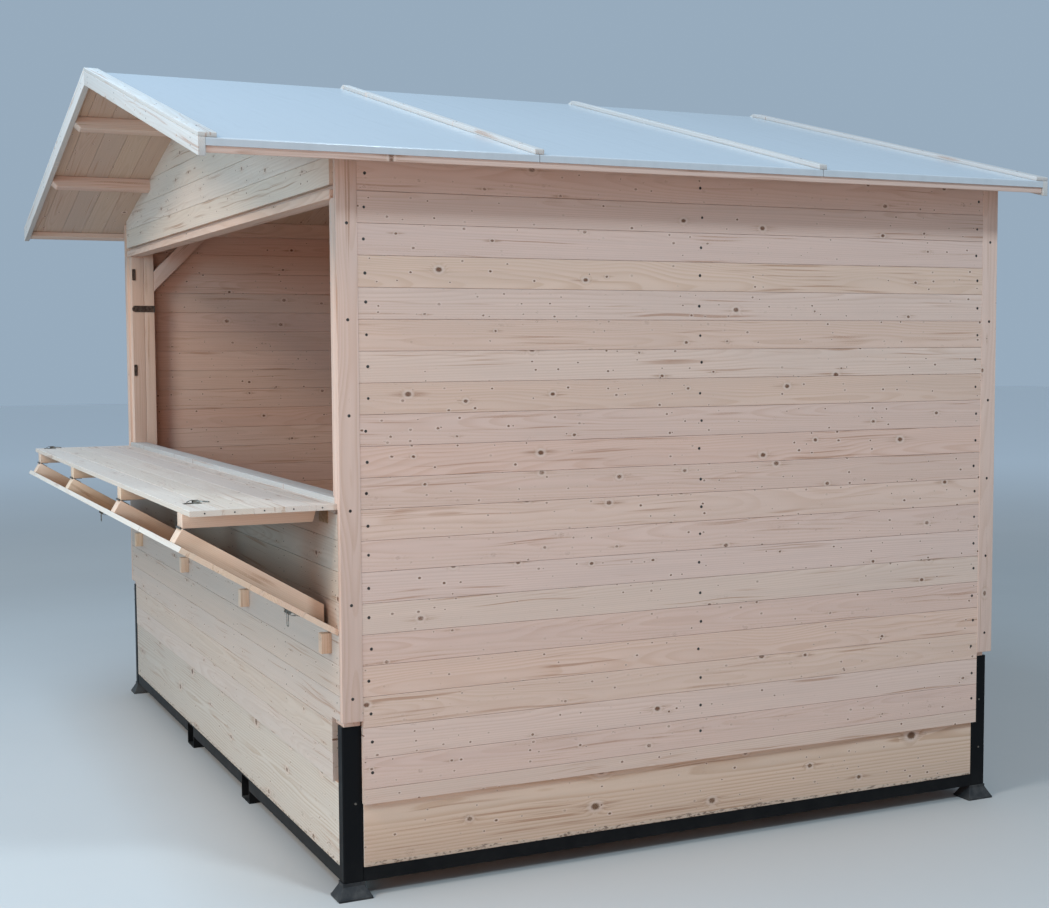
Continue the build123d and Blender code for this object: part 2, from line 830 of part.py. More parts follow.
hasp_front = front + jamb_rebate + hasp_height / 2
hasp_rear = stud_front + stud_width
with BuildPart() as jamb_fittings:
    for side in both_sides:
        face = Plane((side * stud_inner, hasp_front, hasp_level), x_dir=(0, 1, 0), z_dir=(-side, 0, 0))
        with BuildSketch(face) as hasp_outline:
            Circle(hasp_height / 2)
            with Locations(((hasp_rear - hasp_front) / 2, 0)):
                Rectangle(hasp_rear - hasp_front, hasp_height)
        extrude(hasp_outline.sketch, amount=hasp_thickness)
        tab = mirrored((stud_inner - hasp_tab, stud_inner), side)
        low = hasp_level - hasp_height / 2
        bar(tab, (hasp_rear - hasp_thickness, hasp_rear), (low, low + hasp_height))
    (strike_width, strike_height) = strike
    for side in both_sides:
        for level in strike_levels:
            y_mid = front + jamb_rebate + strike_inset + strike_width / 2
            face = Plane((side * stud_inner, y_mid, level), x_dir=(0, 1, 0), z_dir=(-side, 0, 0))
            with BuildSketch(face) as strike_outline:
                RectangleRounded(strike_width, strike_height, latch_round)
            extrude(strike_outline.sketch, amount=latch_wire)
write(jamb_fittings.part, "jamb_fittings")

(hinge_width, hinge_height_plate) = door_hinge
hinge_line_x = -(door_half - door_gap / 2)
handle_x = door_half - door_gap - door_handle_inset
with BuildPart() as door_fittings:
    for level in door_hinge_levels:
        with BuildSketch(Plane.XZ.offset(-rear)) as hinge_outline:
            with Locations((hinge_line_x, level)):
                RectangleRounded(2 * hinge_width, hinge_height_plate, latch_round)
        extrude(hinge_outline.sketch, amount=-hinge_leaf)
        with Locations((hinge_line_x, rear + door_hinge_radius, level)):
            Cylinder(door_hinge_radius, hinge_height_plate)
    with BuildSketch(Plane.YZ.offset(handle_x - door_handle_bar / 2)) as handle_side:
        with Locations((rear + door_handle_reach / 2, door_handle_level)):
            Rectangle(door_handle_reach, door_handle_length)
        with Locations(((rear + door_handle_reach / 2) - door_handle_bar / 2, door_handle_level)):
            inner = (door_handle_reach - door_handle_bar, door_handle_length - 2 * door_handle_bar)
            Rectangle(*inner, mode=Mode.SUBTRACT)
    extrude(handle_side.sketch, amount=door_handle_bar)
write(door_fittings.part, "door_fittings")

print("front wall face y", round(front, 2), "rear", round(rear, 2), "flap angle", round(degrees(flap_angle), 2))
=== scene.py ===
"""Looks of a wooden market stall: boarded walls, eased timbers, black steel base and white roof sheets."""

import json
import logging
import math
from collections import defaultdict
from dataclasses import dataclass, field, replace
from enum import Enum
from typing import Sequence

import bmesh
import bpy
import numpy as np
from bmesh.types import BMesh
from bpy.types import GeometryNodeTree, Material, Mesh, Node, NodeSocket, NodeTree, Object
from mathutils import Matrix, Vector

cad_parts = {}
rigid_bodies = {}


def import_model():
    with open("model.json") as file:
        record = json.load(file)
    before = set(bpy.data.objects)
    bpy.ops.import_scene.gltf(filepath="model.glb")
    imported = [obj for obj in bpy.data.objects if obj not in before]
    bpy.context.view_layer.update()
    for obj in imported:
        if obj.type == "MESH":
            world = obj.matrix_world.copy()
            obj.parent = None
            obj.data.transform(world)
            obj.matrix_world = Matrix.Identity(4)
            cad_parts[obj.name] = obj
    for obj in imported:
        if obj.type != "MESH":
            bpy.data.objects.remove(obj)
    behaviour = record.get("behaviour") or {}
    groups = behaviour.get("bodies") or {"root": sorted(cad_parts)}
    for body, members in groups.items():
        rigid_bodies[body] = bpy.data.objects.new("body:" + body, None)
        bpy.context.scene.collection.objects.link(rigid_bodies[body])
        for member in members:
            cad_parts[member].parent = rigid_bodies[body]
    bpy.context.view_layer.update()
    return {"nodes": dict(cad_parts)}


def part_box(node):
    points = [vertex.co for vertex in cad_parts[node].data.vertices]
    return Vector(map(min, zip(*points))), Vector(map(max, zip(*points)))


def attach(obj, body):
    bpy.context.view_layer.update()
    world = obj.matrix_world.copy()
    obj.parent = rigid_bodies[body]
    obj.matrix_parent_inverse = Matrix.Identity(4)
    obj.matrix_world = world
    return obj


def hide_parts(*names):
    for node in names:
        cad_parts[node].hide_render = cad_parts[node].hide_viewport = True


log = logging.getLogger("market_stall")

# What a node's input takes: another node's output or a constant
Value = NodeSocket | float | tuple

MM = 0.001
BODY = "root"

# Boards of the walls, roof and leaves, in metres
BOARD_COVER = 88 * MM
BOARD_GAP = 0.7 * MM
BOARD_ROUND = 1.3 * MM
BOARD_PLAY = 0.25 * MM

# Where one board joint lies on the sides, the front, the gables and the flap
SIDE_JOINT = 2074.4 * MM
FRONT_JOINT = 670 * MM
GABLE_JOINT = 2083 * MM
FLAP_JOINT = 20 * MM

# The share of the gap between two boards that a board's tongue bridges
TONGUE_SHARE = 0.92

# How many radii from a knot's middle its core, ring, stain and tail start to fade, and end
CORE, RING, STAIN, TAIL = (0.60, 1.25), (1.3, 2.4), (0.8, 3.4), (0.5, 1.7)

# What spreads a piece's random number, from 0 to 1, over the white noise
PIECE_SPREAD = 977.0

# A screw head is a flat cone with this many sides, narrower at its top
HEAD_SIDES = 14
HEAD_TAPER = 0.72

# Seeds of the first panel, the first timber and the fixings
PANEL_SEED = 11
TIMBER_SEED = 101
FIXING_SEED = 7

X_AXIS = Vector((1, 0, 0))
Y_AXIS = Vector((0, 1, 0))
Z_AXIS = Vector((0, 0, 1))


class Sawing(Enum):
    """How a piece was cut from the log, which sets how its growth rings show.

    The values are the depth of the pith under the face and the spread of that depth, in metres.
    """

    BOARD = (0.018, 0.075)
    PLANK = (0.012, 0.030)
    TIMBER = (0.035, 0.090)


class NodeSheet:
    """A small builder for one tree of nodes."""

    def __init__(self, tree: NodeTree) -> None:
        """Takes the tree that is filled."""
        self.tree = tree

    def node(self, kind: str, *values: Value, **settings: object) -> Node:
        """Adds a node.

        Args:
            kind: the node's type name.
            values: what its first inputs take, in order.
            settings: properties of the node.

        Returns:
            The new node.
        """
        made = self.tree.nodes.new(kind)
        for key, value in settings.items():
            setattr(made, key, value)
        for socket, value in zip(made.inputs, values):
            self.put(socket, value)
        return made

    def put(self, socket: NodeSocket, value: Value) -> None:
        """Links an input to an output, or sets its constant.

        Args:
            socket: the input to fill.
            value: what it takes.
        """
        if isinstance(value, NodeSocket):
            self.tree.links.new(value, socket)
        else:
            socket.default_value = value

    def fill(self, node: Node, **inputs: Value) -> Node:
        """Fills a node's inputs by name.

        Args:
            node: the node.
            inputs: what the inputs take, with the spaces of their names written as underscores.

        Returns:
            The same node.
        """
        for key, value in inputs.items():
            self.put(node.inputs[key.replace("_", " ")], value)
        return node

    def math(self, operation: str, *values: Value) -> NodeSocket:
        """Works out one number from others."""
        return self.node("ShaderNodeMath", *values, operation=operation).outputs[0]

    def vector_math(self, operation: str, *values: Value, output: str = "Vector") -> NodeSocket:
        """Works out a vector, or a number under another output's name, from vectors."""
        return self.node("ShaderNodeVectorMath", *values, operation=operation).outputs[output]

    def join(self, x: Value, y: Value, z: Value) -> NodeSocket:
        """Makes a vector from its three parts."""
        return self.node("ShaderNodeCombineXYZ", x, y, z).outputs[0]


class ShaderSheet(NodeSheet):
    """A small builder for one procedural material."""

    def __init__(self, name: str) -> None:
        """Starts the material.

        Args:
            name: its name.
        """
        self.material = bpy.data.materials.new(name)
        self.material.use_nodes = True
        super().__init__(self.material.node_tree)
        self.surface = self.tree.nodes["Principled BSDF"]

    def blend(self, share: Value, first: Value, second: Value) -> NodeSocket:
        """Mixes two colours.

        Args:
            share: how much of the second colour shows.
            first: the colour at 0.
            second: the colour at 1.

        Returns:
            The mixed colour.
        """
        made = self.node("ShaderNodeMix", share, data_type="RGBA")
        self.put(made.inputs[6], first)
        self.put(made.inputs[7], second)
        return made.outputs[2]

    def spread(self, value: Value, low: float, high: float, start: float = 0, end: float = 1) -> NodeSocket:
        """Maps a number smoothly from one range to another.

        Args:
            value: the number.
            low: the value that gives the start.
            high: the value that gives the end.
            start: the result up to the low value.
            end: the result from the high value on.

        Returns:
            The mapped number.
        """
        made = self.node("ShaderNodeMapRange", interpolation_type="SMOOTHSTEP")
        self.fill(made, Value=value, From_Min=low, From_Max=high, To_Min=start, To_Max=end)
        return made.outputs["Result"]

    def about(self, value: Value, middle: float, swing: float) -> NodeSocket:
        """Turns a number from 0 to 1 into one that swings about a middle by the swing in all."""
        return self.math("MULTIPLY_ADD", self.math("SUBTRACT", value, 0.5), swing, middle)

    def parts(self, vector: Value) -> Sequence[NodeSocket]:
        """Splits a vector into its three parts."""
        return self.node("ShaderNodeSeparateXYZ", vector).outputs

    def stretched(self, vector: Value, scale: Sequence[float]) -> NodeSocket:
        """Scales a vector by a constant on each axis."""
        return self.vector_math("MULTIPLY", vector, scale)

    def length(self, vector: Value, scale: Sequence[float]) -> NodeSocket:
        """Gives a vector's length, scaled by a constant on each axis."""
        return self.vector_math("LENGTH", self.stretched(vector, scale), output="Value")

    def noise(self, vector: Value, scale: float, detail: float = 2.0, rough: float = 0.5) -> NodeSocket:
        """Gives noise near 0.5 at a place, with its scale, octaves and the share of each finer octave."""
        made = self.node("ShaderNodeTexNoise")
        return self.fill(made, Vector=vector, Scale=scale, Detail=detail, Roughness=rough).outputs["Fac"]

    def attribute(self, name: str, output: str) -> NodeSocket:
        """Reads an attribute of the mesh."""
        return self.node("ShaderNodeAttribute", attribute_name=name).outputs[output]

    def place(self) -> NodeSocket:
        """Gives the object's own coordinates."""
        return self.node("ShaderNodeTexCoord").outputs["Object"]

    def relief(self, height: Value, strength: float, depth: float) -> None:
        """Gives the surface a bump from a height, with its strength and its depth in metres."""
        made = self.fill(self.node("ShaderNodeBump"), Strength=strength, Distance=depth, Height=height)
        self.fill(self.surface, Normal=made.outputs[0])

    def finish(self, **inputs: Value) -> Material:
        """Fills the surface's inputs and gives the material."""
        self.fill(self.surface, **inputs)
        return self.material


class GroupSheet(NodeSheet):
    """A small builder for one Geometry Nodes group, whose last input is its finish."""

    def __init__(self, name: str, start: str, **inputs: str) -> None:
        """Starts the group.

        Args:
            name: its name.
            start: the name of the geometry that it takes.
            inputs: the kinds of its other inputs, by name.
        """
        super().__init__(bpy.data.node_groups.new(name, "GeometryNodeTree"))
        interface = self.tree.interface
        for label, kind in {start: "Geometry", **inputs, "Finish": "Material"}.items():
            interface.new_socket(label, in_out="INPUT", socket_type="NodeSocket" + kind)
        interface.new_socket("Result", in_out="OUTPUT", socket_type="NodeSocketGeometry")
        self.given = self.node("NodeGroupInput").outputs

    def close(self, shape: NodeSocket) -> GeometryNodeTree:
        """Ends the group with real meshes that have their finish.

        Args:
            shape: the instances.

        Returns:
            The group.
        """
        real = self.node("GeometryNodeRealizeInstances", shape)
        paint = self.node("GeometryNodeSetMaterial", real.outputs[0])
        self.fill(paint, Material=self.given["Finish"])
        self.node("NodeGroupOutput", paint.outputs[0])
        return self.tree


@dataclass(frozen=True)
class KnotGrowth:
    """How one kind of knot is spread over the wood.

    Its cell is the mean distance between knots along and across the grain, and a share of the cells
    holds one. The stretches say how much length along the grain counts in a knot and in its tail.
    """

    cell: tuple
    share: float
    radius: tuple
    stretch: float = 0.74
    tail_stretch: float = 0.15
    ragged: float = 220.0

    def marks(self, sheet: ShaderSheet, shifted: NodeSocket, tailed: bool) -> list:
        """Marks the knots and the wood round them.

        Args:
            sheet: the material's builder.
            shifted: the place in the piece's own frame, moved by chance.
            tailed: whether the knots stain the wood and have tails.

        Returns:
            The cores and the pale rings, and after them the stains and tails if they have them.
        """
        (long, wide), (low, high) = self.cell, self.radius
        scaled = sheet.stretched(shifted, (1 / long, 1 / wide, 0.0))
        cells = sheet.node("ShaderNodeTexVoronoi", voronoi_dimensions="2D", feature="F1")
        sheet.fill(cells, Vector=scaled, Scale=1.0)
        gap = sheet.vector_math("SUBTRACT", scaled, cells.outputs["Position"])
        size, chance, _ = sheet.parts(cells.outputs["Color"])
        radius = sheet.math("MULTIPLY_ADD", sheet.math("POWER", size, 1.8), high - low, low)
        edge = sheet.math("SUBTRACT", sheet.noise(shifted, self.ragged, 1.0), 0.5)
        near = sheet.length(gap, (long * self.stretch, wide, 0.0))
        near = sheet.math("DIVIDE", sheet.math("MULTIPLY_ADD", edge, low, near), radius)
        zones = [(near, CORE), (near, RING)]
        if tailed:
            far = sheet.math("DIVIDE", sheet.length(gap, (long * self.tail_stretch, wide, 0.0)), radius)
            zones += [(near, STAIN), (far, TAIL)]
        present = sheet.math("LESS_THAN", chance, self.share)
        fades = [sheet.spread(distance, *reach, 1, 0) for distance, reach in zones]
        return [sheet.math("MULTIPLY", fade, present) for fade in fades]


class SpruceSheet(ShaderSheet):
    """Planed spruce under construction: where a point lies in its board, its rings and its colour so far."""

    def __init__(self, wood: "Spruce") -> None:
        """Finds the place, its knots and its rings.

        Args:
            wood: the wood's tones and sizes.
        """
        super().__init__(wood.name)
        self.wood = wood
        self.sawn = self.parts(self.attribute("sawn", "Vector"))
        source = self.node("ShaderNodeTexWhiteNoise", noise_dimensions="1D")
        self.fill(source, W=self.math("MULTIPLY", self.attribute("piece", "Fac"), PIECE_SPREAD))
        self.chance = self.parts(source.outputs["Color"])
        self.shifted = self.join(
            *(self.math("MULTIPLY_ADD", *row) for row in zip(self.chance, wood.log_size, self.sawn))
        )
        self.knot, self.ring, self.stain, self.tail = wood.knots.marks(self, self.shifted, True)
        self.band = self.rings()
        self.colour = self.planed()

    def grain(self, scale: tuple, detail: float = 1.0) -> NodeSocket:
        """Noise in the piece's own frame, stretched by a scale along, across and into the wood."""
        return self.noise(self.stretched(self.shifted, scale), 1.0, detail)

    def rings(self) -> NodeSocket:
        """Cuts the growth rings with the saw and bends them round the knots.

        Returns:
            0 in early wood and 1 in late wood.
        """
        wood = self.wood
        along, across, deep = self.sawn
        pith, pith_spread = wood.sawing.value
        wander = self.math("SUBTRACT", self.grain((1.4, 7.0, 7.0), 2.0), 0.5)
        sway = self.math("MULTIPLY", wander, wood.sway)
        centre = self.math("MULTIPLY_ADD", self.chance[1], 2 * wood.off_centre, -wood.off_centre)
        level = self.math("ADD", self.math("ADD", across, centre), sway)
        slope = self.math("MULTIPLY_ADD", self.chance[0], 2 * wood.taper, -wood.taper)
        tilt = self.math("MULTIPLY", slope, along)
        depth = self.math("MULTIPLY_ADD", self.chance[2], pith_spread, pith)
        under = self.math("ADD", self.math("ADD", deep, depth), self.math("ADD", tilt, sway))
        square = self.math("ADD", self.math("MULTIPLY", level, level), self.math("MULTIPLY", under, under))
        radius = self.math("MULTIPLY_ADD", self.stain, wood.knot_bend, self.math("SQRT", square))
        turn = self.math("FRACT", self.math("DIVIDE", radius, wood.ring))
        return self.math("MULTIPLY", self.spread(turn, 0.25, 0.88), self.spread(turn, 0.90, 1.0, 1.0, 0.0))

    def planed(self) -> NodeSocket:
        """Gives the wood's colour before its knots.

        Returns:
            The colour.
        """
        wood = self.wood
        patch = self.grain((2.2, 9.0, 9.0), 3.0)
        contrast = self.spread(patch, 0.3, 0.7, wood.ring_contrast * 0.4, wood.ring_contrast)
        colour = self.blend(self.math("MULTIPLY", self.band, contrast), wood.early, wood.late)
        level = self.about(self.grain((1.6, 70.0, 70.0), 3.0), 1.0, wood.streaks)
        own = self.math("MULTIPLY_ADD", self.chance[2], wood.tone_spread * 2, -wood.tone_spread)
        level = self.about(patch, self.math("ADD", level, own), wood.streaks)
        hue = self.math("MULTIPLY_ADD", self.chance[0], 0.010, 0.493)
        saturation = self.math("MULTIPLY_ADD", self.chance[1], 0.16, 0.92)
        made = self.node("ShaderNodeHueSaturation")
        return self.fill(made, Hue=hue, Saturation=saturation, Value=level, Color=colour).outputs[0]

    def resin_lines(self) -> None:
        """Draws thin dark lines of resin that follow the grain in some places."""
        along, across, deep = self.parts(self.shifted)
        bent = self.join(along, self.math("MULTIPLY_ADD", self.grain((2.6, 9.0, 9.0)), 30 * MM, across), deep)
        line = self.noise(self.stretched(bent, (1.7, 120.0, 60.0)), 1.0, 1.0)
        here = self.spread(self.grain((2.4, 13.0, 13.0)), 0.46, 0.62)
        share = self.math("MULTIPLY", self.spread(line, 0.60, 0.70), here)
        self.colour = self.blend(self.math("MULTIPLY", share, 0.55), self.colour, self.wood.resin)

    def grow_knots(self) -> None:
        """Lays the knots' stain, tail, pale ring and core, and the pins where they stand in clusters."""
        wood = self.wood
        cluster = self.spread(self.noise(self.shifted, 5.5, 1.0), 0.38, 0.54)
        pins = wood.pins.marks(self, self.shifted, False)
        pin, pin_ring = (self.math("MULTIPLY", mark, cluster) for mark in pins)
        thread = self.spread(self.grain((3.0, 210.0, 60.0), 2.0), 0.42, 0.66, 0, 0.75)
        layers = (
            (self.math("MULTIPLY", self.stain, 0.30), wood.halo),
            (self.math("MULTIPLY", self.tail, thread), wood.tail),
            (self.math("MULTIPLY", self.math("MAXIMUM", self.ring, pin_ring), 0.48), wood.pale),
            (self.math("MAXIMUM", self.knot, pin), wood.knot),
        )
        for share, colour in layers:
            self.colour = self.blend(share, self.colour, colour)

    def tear_foot(self) -> None:
        """Tears the fibres along the foot of the piece, up to the wood's sawn edge, with specks of bark."""
        edge, soft = self.wood.sawn_edge, 1.5 * MM
        place = self.place()
        tear = self.math("SUBTRACT", self.noise(self.stretched(place, (9.0, 9.0, 9.0)), 1.0, 3.0, 0.6), 0.5)
        top = self.math("MULTIPLY_ADD", tear, -22 * MM, self.parts(place)[2])
        mask = self.spread(top, edge - soft, edge + soft, 1.0, 0.0)
        grit = self.noise(self.stretched(place, (60.0, 60.0, 170.0)), 1.0, 3.0, 0.7)
        speck = self.math("MULTIPLY", self.spread(grit, 0.50, 0.60), mask)
        self.colour = self.blend(self.math("MULTIPLY", mask, 0.55), self.colour, self.wood.torn)
        self.colour = self.blend(self.math("MULTIPLY", speck, 0.75), self.colour, self.wood.bark)


@dataclass(frozen=True)
class Spruce:
    """Planed spruce, with growth rings, knots and a tone of its own on each piece.

    The pieces carry two attributes: "sawn", the place in the piece's own frame with the grain
    along the first axis, and "piece", a random number for each piece. Colours are linear.
    The ring is the distance from one growth ring to the next, the log size is how far apart two
    pieces lie in the pattern, and the sawn edge is the height up to which a piece's foot is torn.
    """

    name: str
    sawing: Sawing = Sawing.BOARD
    early: tuple = (0.665, 0.456, 0.352, 1)
    late: tuple = (0.500, 0.295, 0.193, 1)
    knot: tuple = (0.165, 0.072, 0.038, 1)
    halo: tuple = (0.430, 0.255, 0.163, 1)
    resin: tuple = (0.310, 0.125, 0.050, 1)
    pale: tuple = (0.760, 0.575, 0.470, 1)
    tail: tuple = (0.330, 0.165, 0.090, 1)
    torn: tuple = (0.60, 0.46, 0.35, 1)
    bark: tuple = (0.11, 0.055, 0.035, 1)
    ring: float = 5.0 * MM
    ring_contrast: float = 0.40
    tone_spread: float = 0.035
    streaks: float = 0.16
    sway: float = 46 * MM
    off_centre: float = 60 * MM
    taper: float = 0.025
    knot_bend: float = 11 * MM
    log_size: tuple = (40.0, 9.0, 5.0)
    knots: KnotGrowth = KnotGrowth((260 * MM, 84 * MM), 0.50, (3.0 * MM, 7.5 * MM))
    pins: KnotGrowth = KnotGrowth((76 * MM, 28 * MM), 0.40, (1.8 * MM, 3.7 * MM))
    sawn_edge: float = 0.0

    def material(self) -> Material:
        """Builds the material.

        Returns:
            The material.
        """
        sheet = SpruceSheet(self)
        sheet.resin_lines()
        sheet.grow_knots()
        if self.sawn_edge:
            sheet.tear_foot()
        fibre = sheet.grain((9.0, 420.0, 420.0), 2.0)
        sheet.relief(sheet.math("MULTIPLY_ADD", sheet.band, 0.5, fibre), 0.20, 0.5 * MM)
        rough = sheet.math("MULTIPLY_ADD", fibre, 0.16, 0.48)
        return sheet.finish(Base_Color=sheet.colour, Roughness=rough, Specular_IOR_Level=0.30)


@dataclass(frozen=True)
class PaintedSteel:
    """Black paint on steel, with dust on its upper sides and near the ground."""

    name: str
    paint: tuple = (0.0055, 0.0055, 0.006, 1)
    dust: tuple = (0.20, 0.18, 0.16, 1)
    dust_height: float = 160 * MM
    low_dust: float = 0.04
    lying_dust: float = 0.22

    def material(self) -> Material:
        """Builds the material.

        Returns:
            The material.
        """
        sheet = ShaderSheet(self.name)
        place = sheet.place()
        cloud = sheet.noise(place, 14.0, 5.0, 0.65)
        low = sheet.spread(sheet.parts(place)[2], 0.0, self.dust_height, self.low_dust, 0.0)
        upward = sheet.parts(sheet.node("ShaderNodeNewGeometry").outputs["Normal"])[2]
        lying = sheet.spread(upward, 0.6, 1.0, 0.0, self.lying_dust)
        cover = sheet.spread(cloud, 0.35, 0.7, 0.2, 1.0)
        share = sheet.math("MULTIPLY", sheet.math("ADD", low, lying), cover)
        colour = sheet.blend(share, self.paint, self.dust)
        sheet.relief(sheet.noise(place, 320.0, 2.0), 0.12, 0.3 * MM)
        rough = sheet.math("MULTIPLY_ADD", cloud, 0.25, 0.30)
        return sheet.finish(Base_Color=colour, Roughness=rough, Specular_IOR_Level=0.08)


@dataclass(frozen=True)
class GlossSheet:
    """White coated roof sheet, faintly wavy over the boards that it lies on, with darker streaks that are
    partly scuffs and partly painted shade.
    """

    name: str
    coat: tuple = (0.49, 0.49, 0.49, 1)
    scuff_and_shade: tuple = (0.43, 0.43, 0.43, 1)
    wave: float = 6 * MM

    def material(self) -> Material:
        """Builds the material.

        Returns:
            The material.
        """
        sheet = ShaderSheet(self.name)
        place = sheet.place()
        # Darker streaks down the slope: scuffs and painted soft shade of the sheet's waves
        streak = sheet.noise(sheet.stretched(place, (3.0, 26.0, 3.0)), 1.0, 4.0, 0.6)
        colour = sheet.blend(sheet.spread(streak, 0.4, 0.75, 0.0, 0.5), self.coat, self.scuff_and_shade)
        sheet.relief(sheet.noise(sheet.stretched(place, (1.1, 5.0, 1.1)), 1.0), 0.35, self.wave)
        rough = sheet.math("MULTIPLY_ADD", streak, 0.14, 0.16)
        return sheet.finish(Base_Color=colour, Roughness=rough, Coat_Weight=0.3, Coat_Roughness=0.12)


@dataclass(frozen=True)
class PlatedSteel:
    """Zinc or dark plating on small fittings."""

    name: str
    plate: tuple = (0.55, 0.54, 0.51, 1)
    worn: tuple = (0.36, 0.35, 0.33, 1)
    base_rough: float = 0.30

    def material(self) -> Material:
        """Builds the material.

        Returns:
            The material.
        """
        sheet = ShaderSheet(self.name)
        cloud = sheet.noise(sheet.place(), 90.0, 4.0, 0.6)
        colour = sheet.blend(sheet.spread(cloud, 0.35, 0.65), self.plate, self.worn)
        rough = sheet.math("MULTIPLY_ADD", cloud, 0.25, self.base_rough)
        sheet.relief(cloud, 0.1, 0.2 * MM)
        return sheet.finish(Base_Color=colour, Roughness=rough, Metallic=1.0)


@dataclass(frozen=True)
class StudioFloor:
    """Pale matt floor of the studio, which grows paler from a near to a far distance."""

    name: str
    near: float = 5.0
    far: float = 17.0
    rim: tuple = (0.92, 0.92, 0.92, 1)
    pale: tuple = (0.53, 0.485, 0.445, 1)
    dull: tuple = (0.49, 0.448, 0.41, 1)

    def material(self) -> Material:
        """Builds the material.

        Returns:
            The material.
        """
        sheet = ShaderSheet(self.name)
        place = sheet.place()
        cloud = sheet.noise(place, 0.8, 5.0, 0.55)
        distance = sheet.vector_math("LENGTH", place, output="Value")
        colour = sheet.blend(cloud, self.pale, self.dull)
        colour = sheet.blend(sheet.spread(distance, self.near, self.far), colour, self.rim)
        return sheet.finish(Base_Color=colour, Roughness=sheet.math("MULTIPLY_ADD", cloud, 0.2, 0.6))


class Finishes:
    """Every finish of the stall, made once."""

    def __init__(self) -> None:
        """Makes the woods and metals."""
        trim = Spruce(
            "spruce_trim",
            Sawing.TIMBER,
            knots=KnotGrowth((420 * MM, 90 * MM), 0.35, (2.5 * MM, 7 * MM)),
            pins=KnotGrowth((140 * MM, 40 * MM), 0.16, (1.0 * MM, 2.2 * MM)),
        )
        # Ribs, support blocks and the flap's board ends: a yellower, warmer wood, partly their own tone and
        # partly painted warm shade from under the counter and flap
        ribs = replace(trim, name="spruce_ribs", early=(0.71, 0.495, 0.350, 1), late=(0.54, 0.325, 0.19, 1))
        # Barge boards, verge caps, seam battens and the counter sill: a pale, greyish wood as painted light,
        # for the bright cool light on them
        barge = Spruce(
            "spruce_barges",
            Sawing.TIMBER,
            early=(0.52, 0.465, 0.42, 1),
            late=(0.41, 0.32, 0.25, 1),
            knots=KnotGrowth((420 * MM, 90 * MM), 0.35, (2.5 * MM, 6 * MM)),
        )
        plank = Spruce(
            "spruce_planks",
            Sawing.PLANK,
            early=(0.650, 0.440, 0.305, 1),
            late=(0.485, 0.280, 0.160, 1),
            knot=(0.150, 0.070, 0.035, 1),
            ring=9 * MM,
            ring_contrast=0.8,
            knots=KnotGrowth((230 * MM, 110 * MM), 0.62, (6 * MM, 13 * MM)),
            sawn_edge=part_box("base_panels")[0][2] + 11 * MM,
        )
        # Front and rear faces of the base planks: a paler, cooler copy of the plank wood as painted light,
        # for the cool light from the front
        lit_front_plank = replace(
            plank, name="spruce_front_planks", early=(0.575, 0.475, 0.385, 1), late=(0.43, 0.305, 0.205, 1)
        )
        # Front wall: a paler, cooler wood as painted light, for the cool light from the front
        front = Spruce("spruce_front", early=(0.58, 0.456, 0.37, 1), late=(0.44, 0.295, 0.205, 1))
        # Roof boards: a darker wood as painted shade, for their underside that lies in the shade of the roof
        roof = Spruce("spruce_roof", early=(0.54, 0.385, 0.28, 1), late=(0.41, 0.255, 0.16, 1))
        # Counter, flap and front gable: a paler, cooler wood as painted light, for the bright cool light and
        # its reflection on them
        leaf = Spruce("spruce_leaves", early=(0.66, 0.53, 0.43, 1), late=(0.52, 0.37, 0.27, 1))
        self.boards = Spruce("spruce_boards").material()
        self.front, self.roof, self.leaf = (wood.material() for wood in (front, roof, leaf))
        self.trim, self.ribs, self.barge = (wood.material() for wood in (trim, ribs, barge))
        self.plank, self.lit_front_plank = plank.material(), lit_front_plank.material()
        self.paint = PaintedSteel("black_paint").material()
        self.rubber = PaintedSteel("black_feet", (0.016, 0.017, 0.019, 1), low_dust=0.30).material()
        self.sheet = GlossSheet("white_roof_sheet").material()
        plates = (
            ("zinc_plate",),
            ("yellow_zinc", (0.56, 0.40, 0.26, 1), (0.42, 0.28, 0.17, 1), 0.40),
            ("latch_steel", (0.38, 0.36, 0.32, 1), (0.15, 0.14, 0.12, 1), 0.25),
            ("aged_plate", (0.24, 0.21, 0.18, 1), (0.11, 0.095, 0.08, 1), 0.28),
            ("dark_screws", (0.10, 0.09, 0.08, 1), (0.05, 0.04, 0.035, 1), 0.4),
        )
        metals = (PlatedSteel(*plate).material() for plate in plates)
        self.zinc, self.yellow, self.latch, self.bronze, self.dark = metals


def new_object(name: str, mesh: Mesh) -> Object:
    """Puts a mesh into the scene.

    Args:
        name: the object's name.
        mesh: its mesh.

    Returns:
        The object, at the origin and unturned.
    """
    made = bpy.data.objects.new(name, mesh)
    bpy.context.scene.collection.objects.link(made)
    return made


def add_piece(name: str, mesh: Mesh, count: int, node: str | None = None) -> None:
    """Puts a finished piece on the stall and reports it.

    Args:
        name: the piece's name.
        mesh: its mesh.
        count: how many solids it has.
        node: the node that it replaces, if any.
    """
    made = new_object(name, mesh)
    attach(made, BODY)
    if node:
        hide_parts(node)
    log.info("%s: %d solids, %d faces", name, count, len(mesh.polygons))


def evaluated_mesh(source: Object) -> Mesh:
    """Takes a new mesh from what an object's modifiers give."""
    bpy.context.view_layer.update()
    return bpy.data.meshes.new_from_object(source.evaluated_get(bpy.context.evaluated_depsgraph_get()))


def discard(*objects: Object) -> None:
    """Removes working objects with their meshes.

    Args:
        objects: the objects to remove.
    """
    for item in objects:
        mesh = item.data
        bpy.data.objects.remove(item)
        bpy.data.meshes.remove(mesh)


def released(work: BMesh, name: str) -> Mesh:
    """Turns a mesh under construction into a finished one.

    Args:
        work: the mesh under construction, which is freed.
        name: the name of the finished one.

    Returns:
        The finished mesh.
    """
    mesh = bpy.data.meshes.new(name)
    work.to_mesh(mesh)
    work.free()
    return mesh


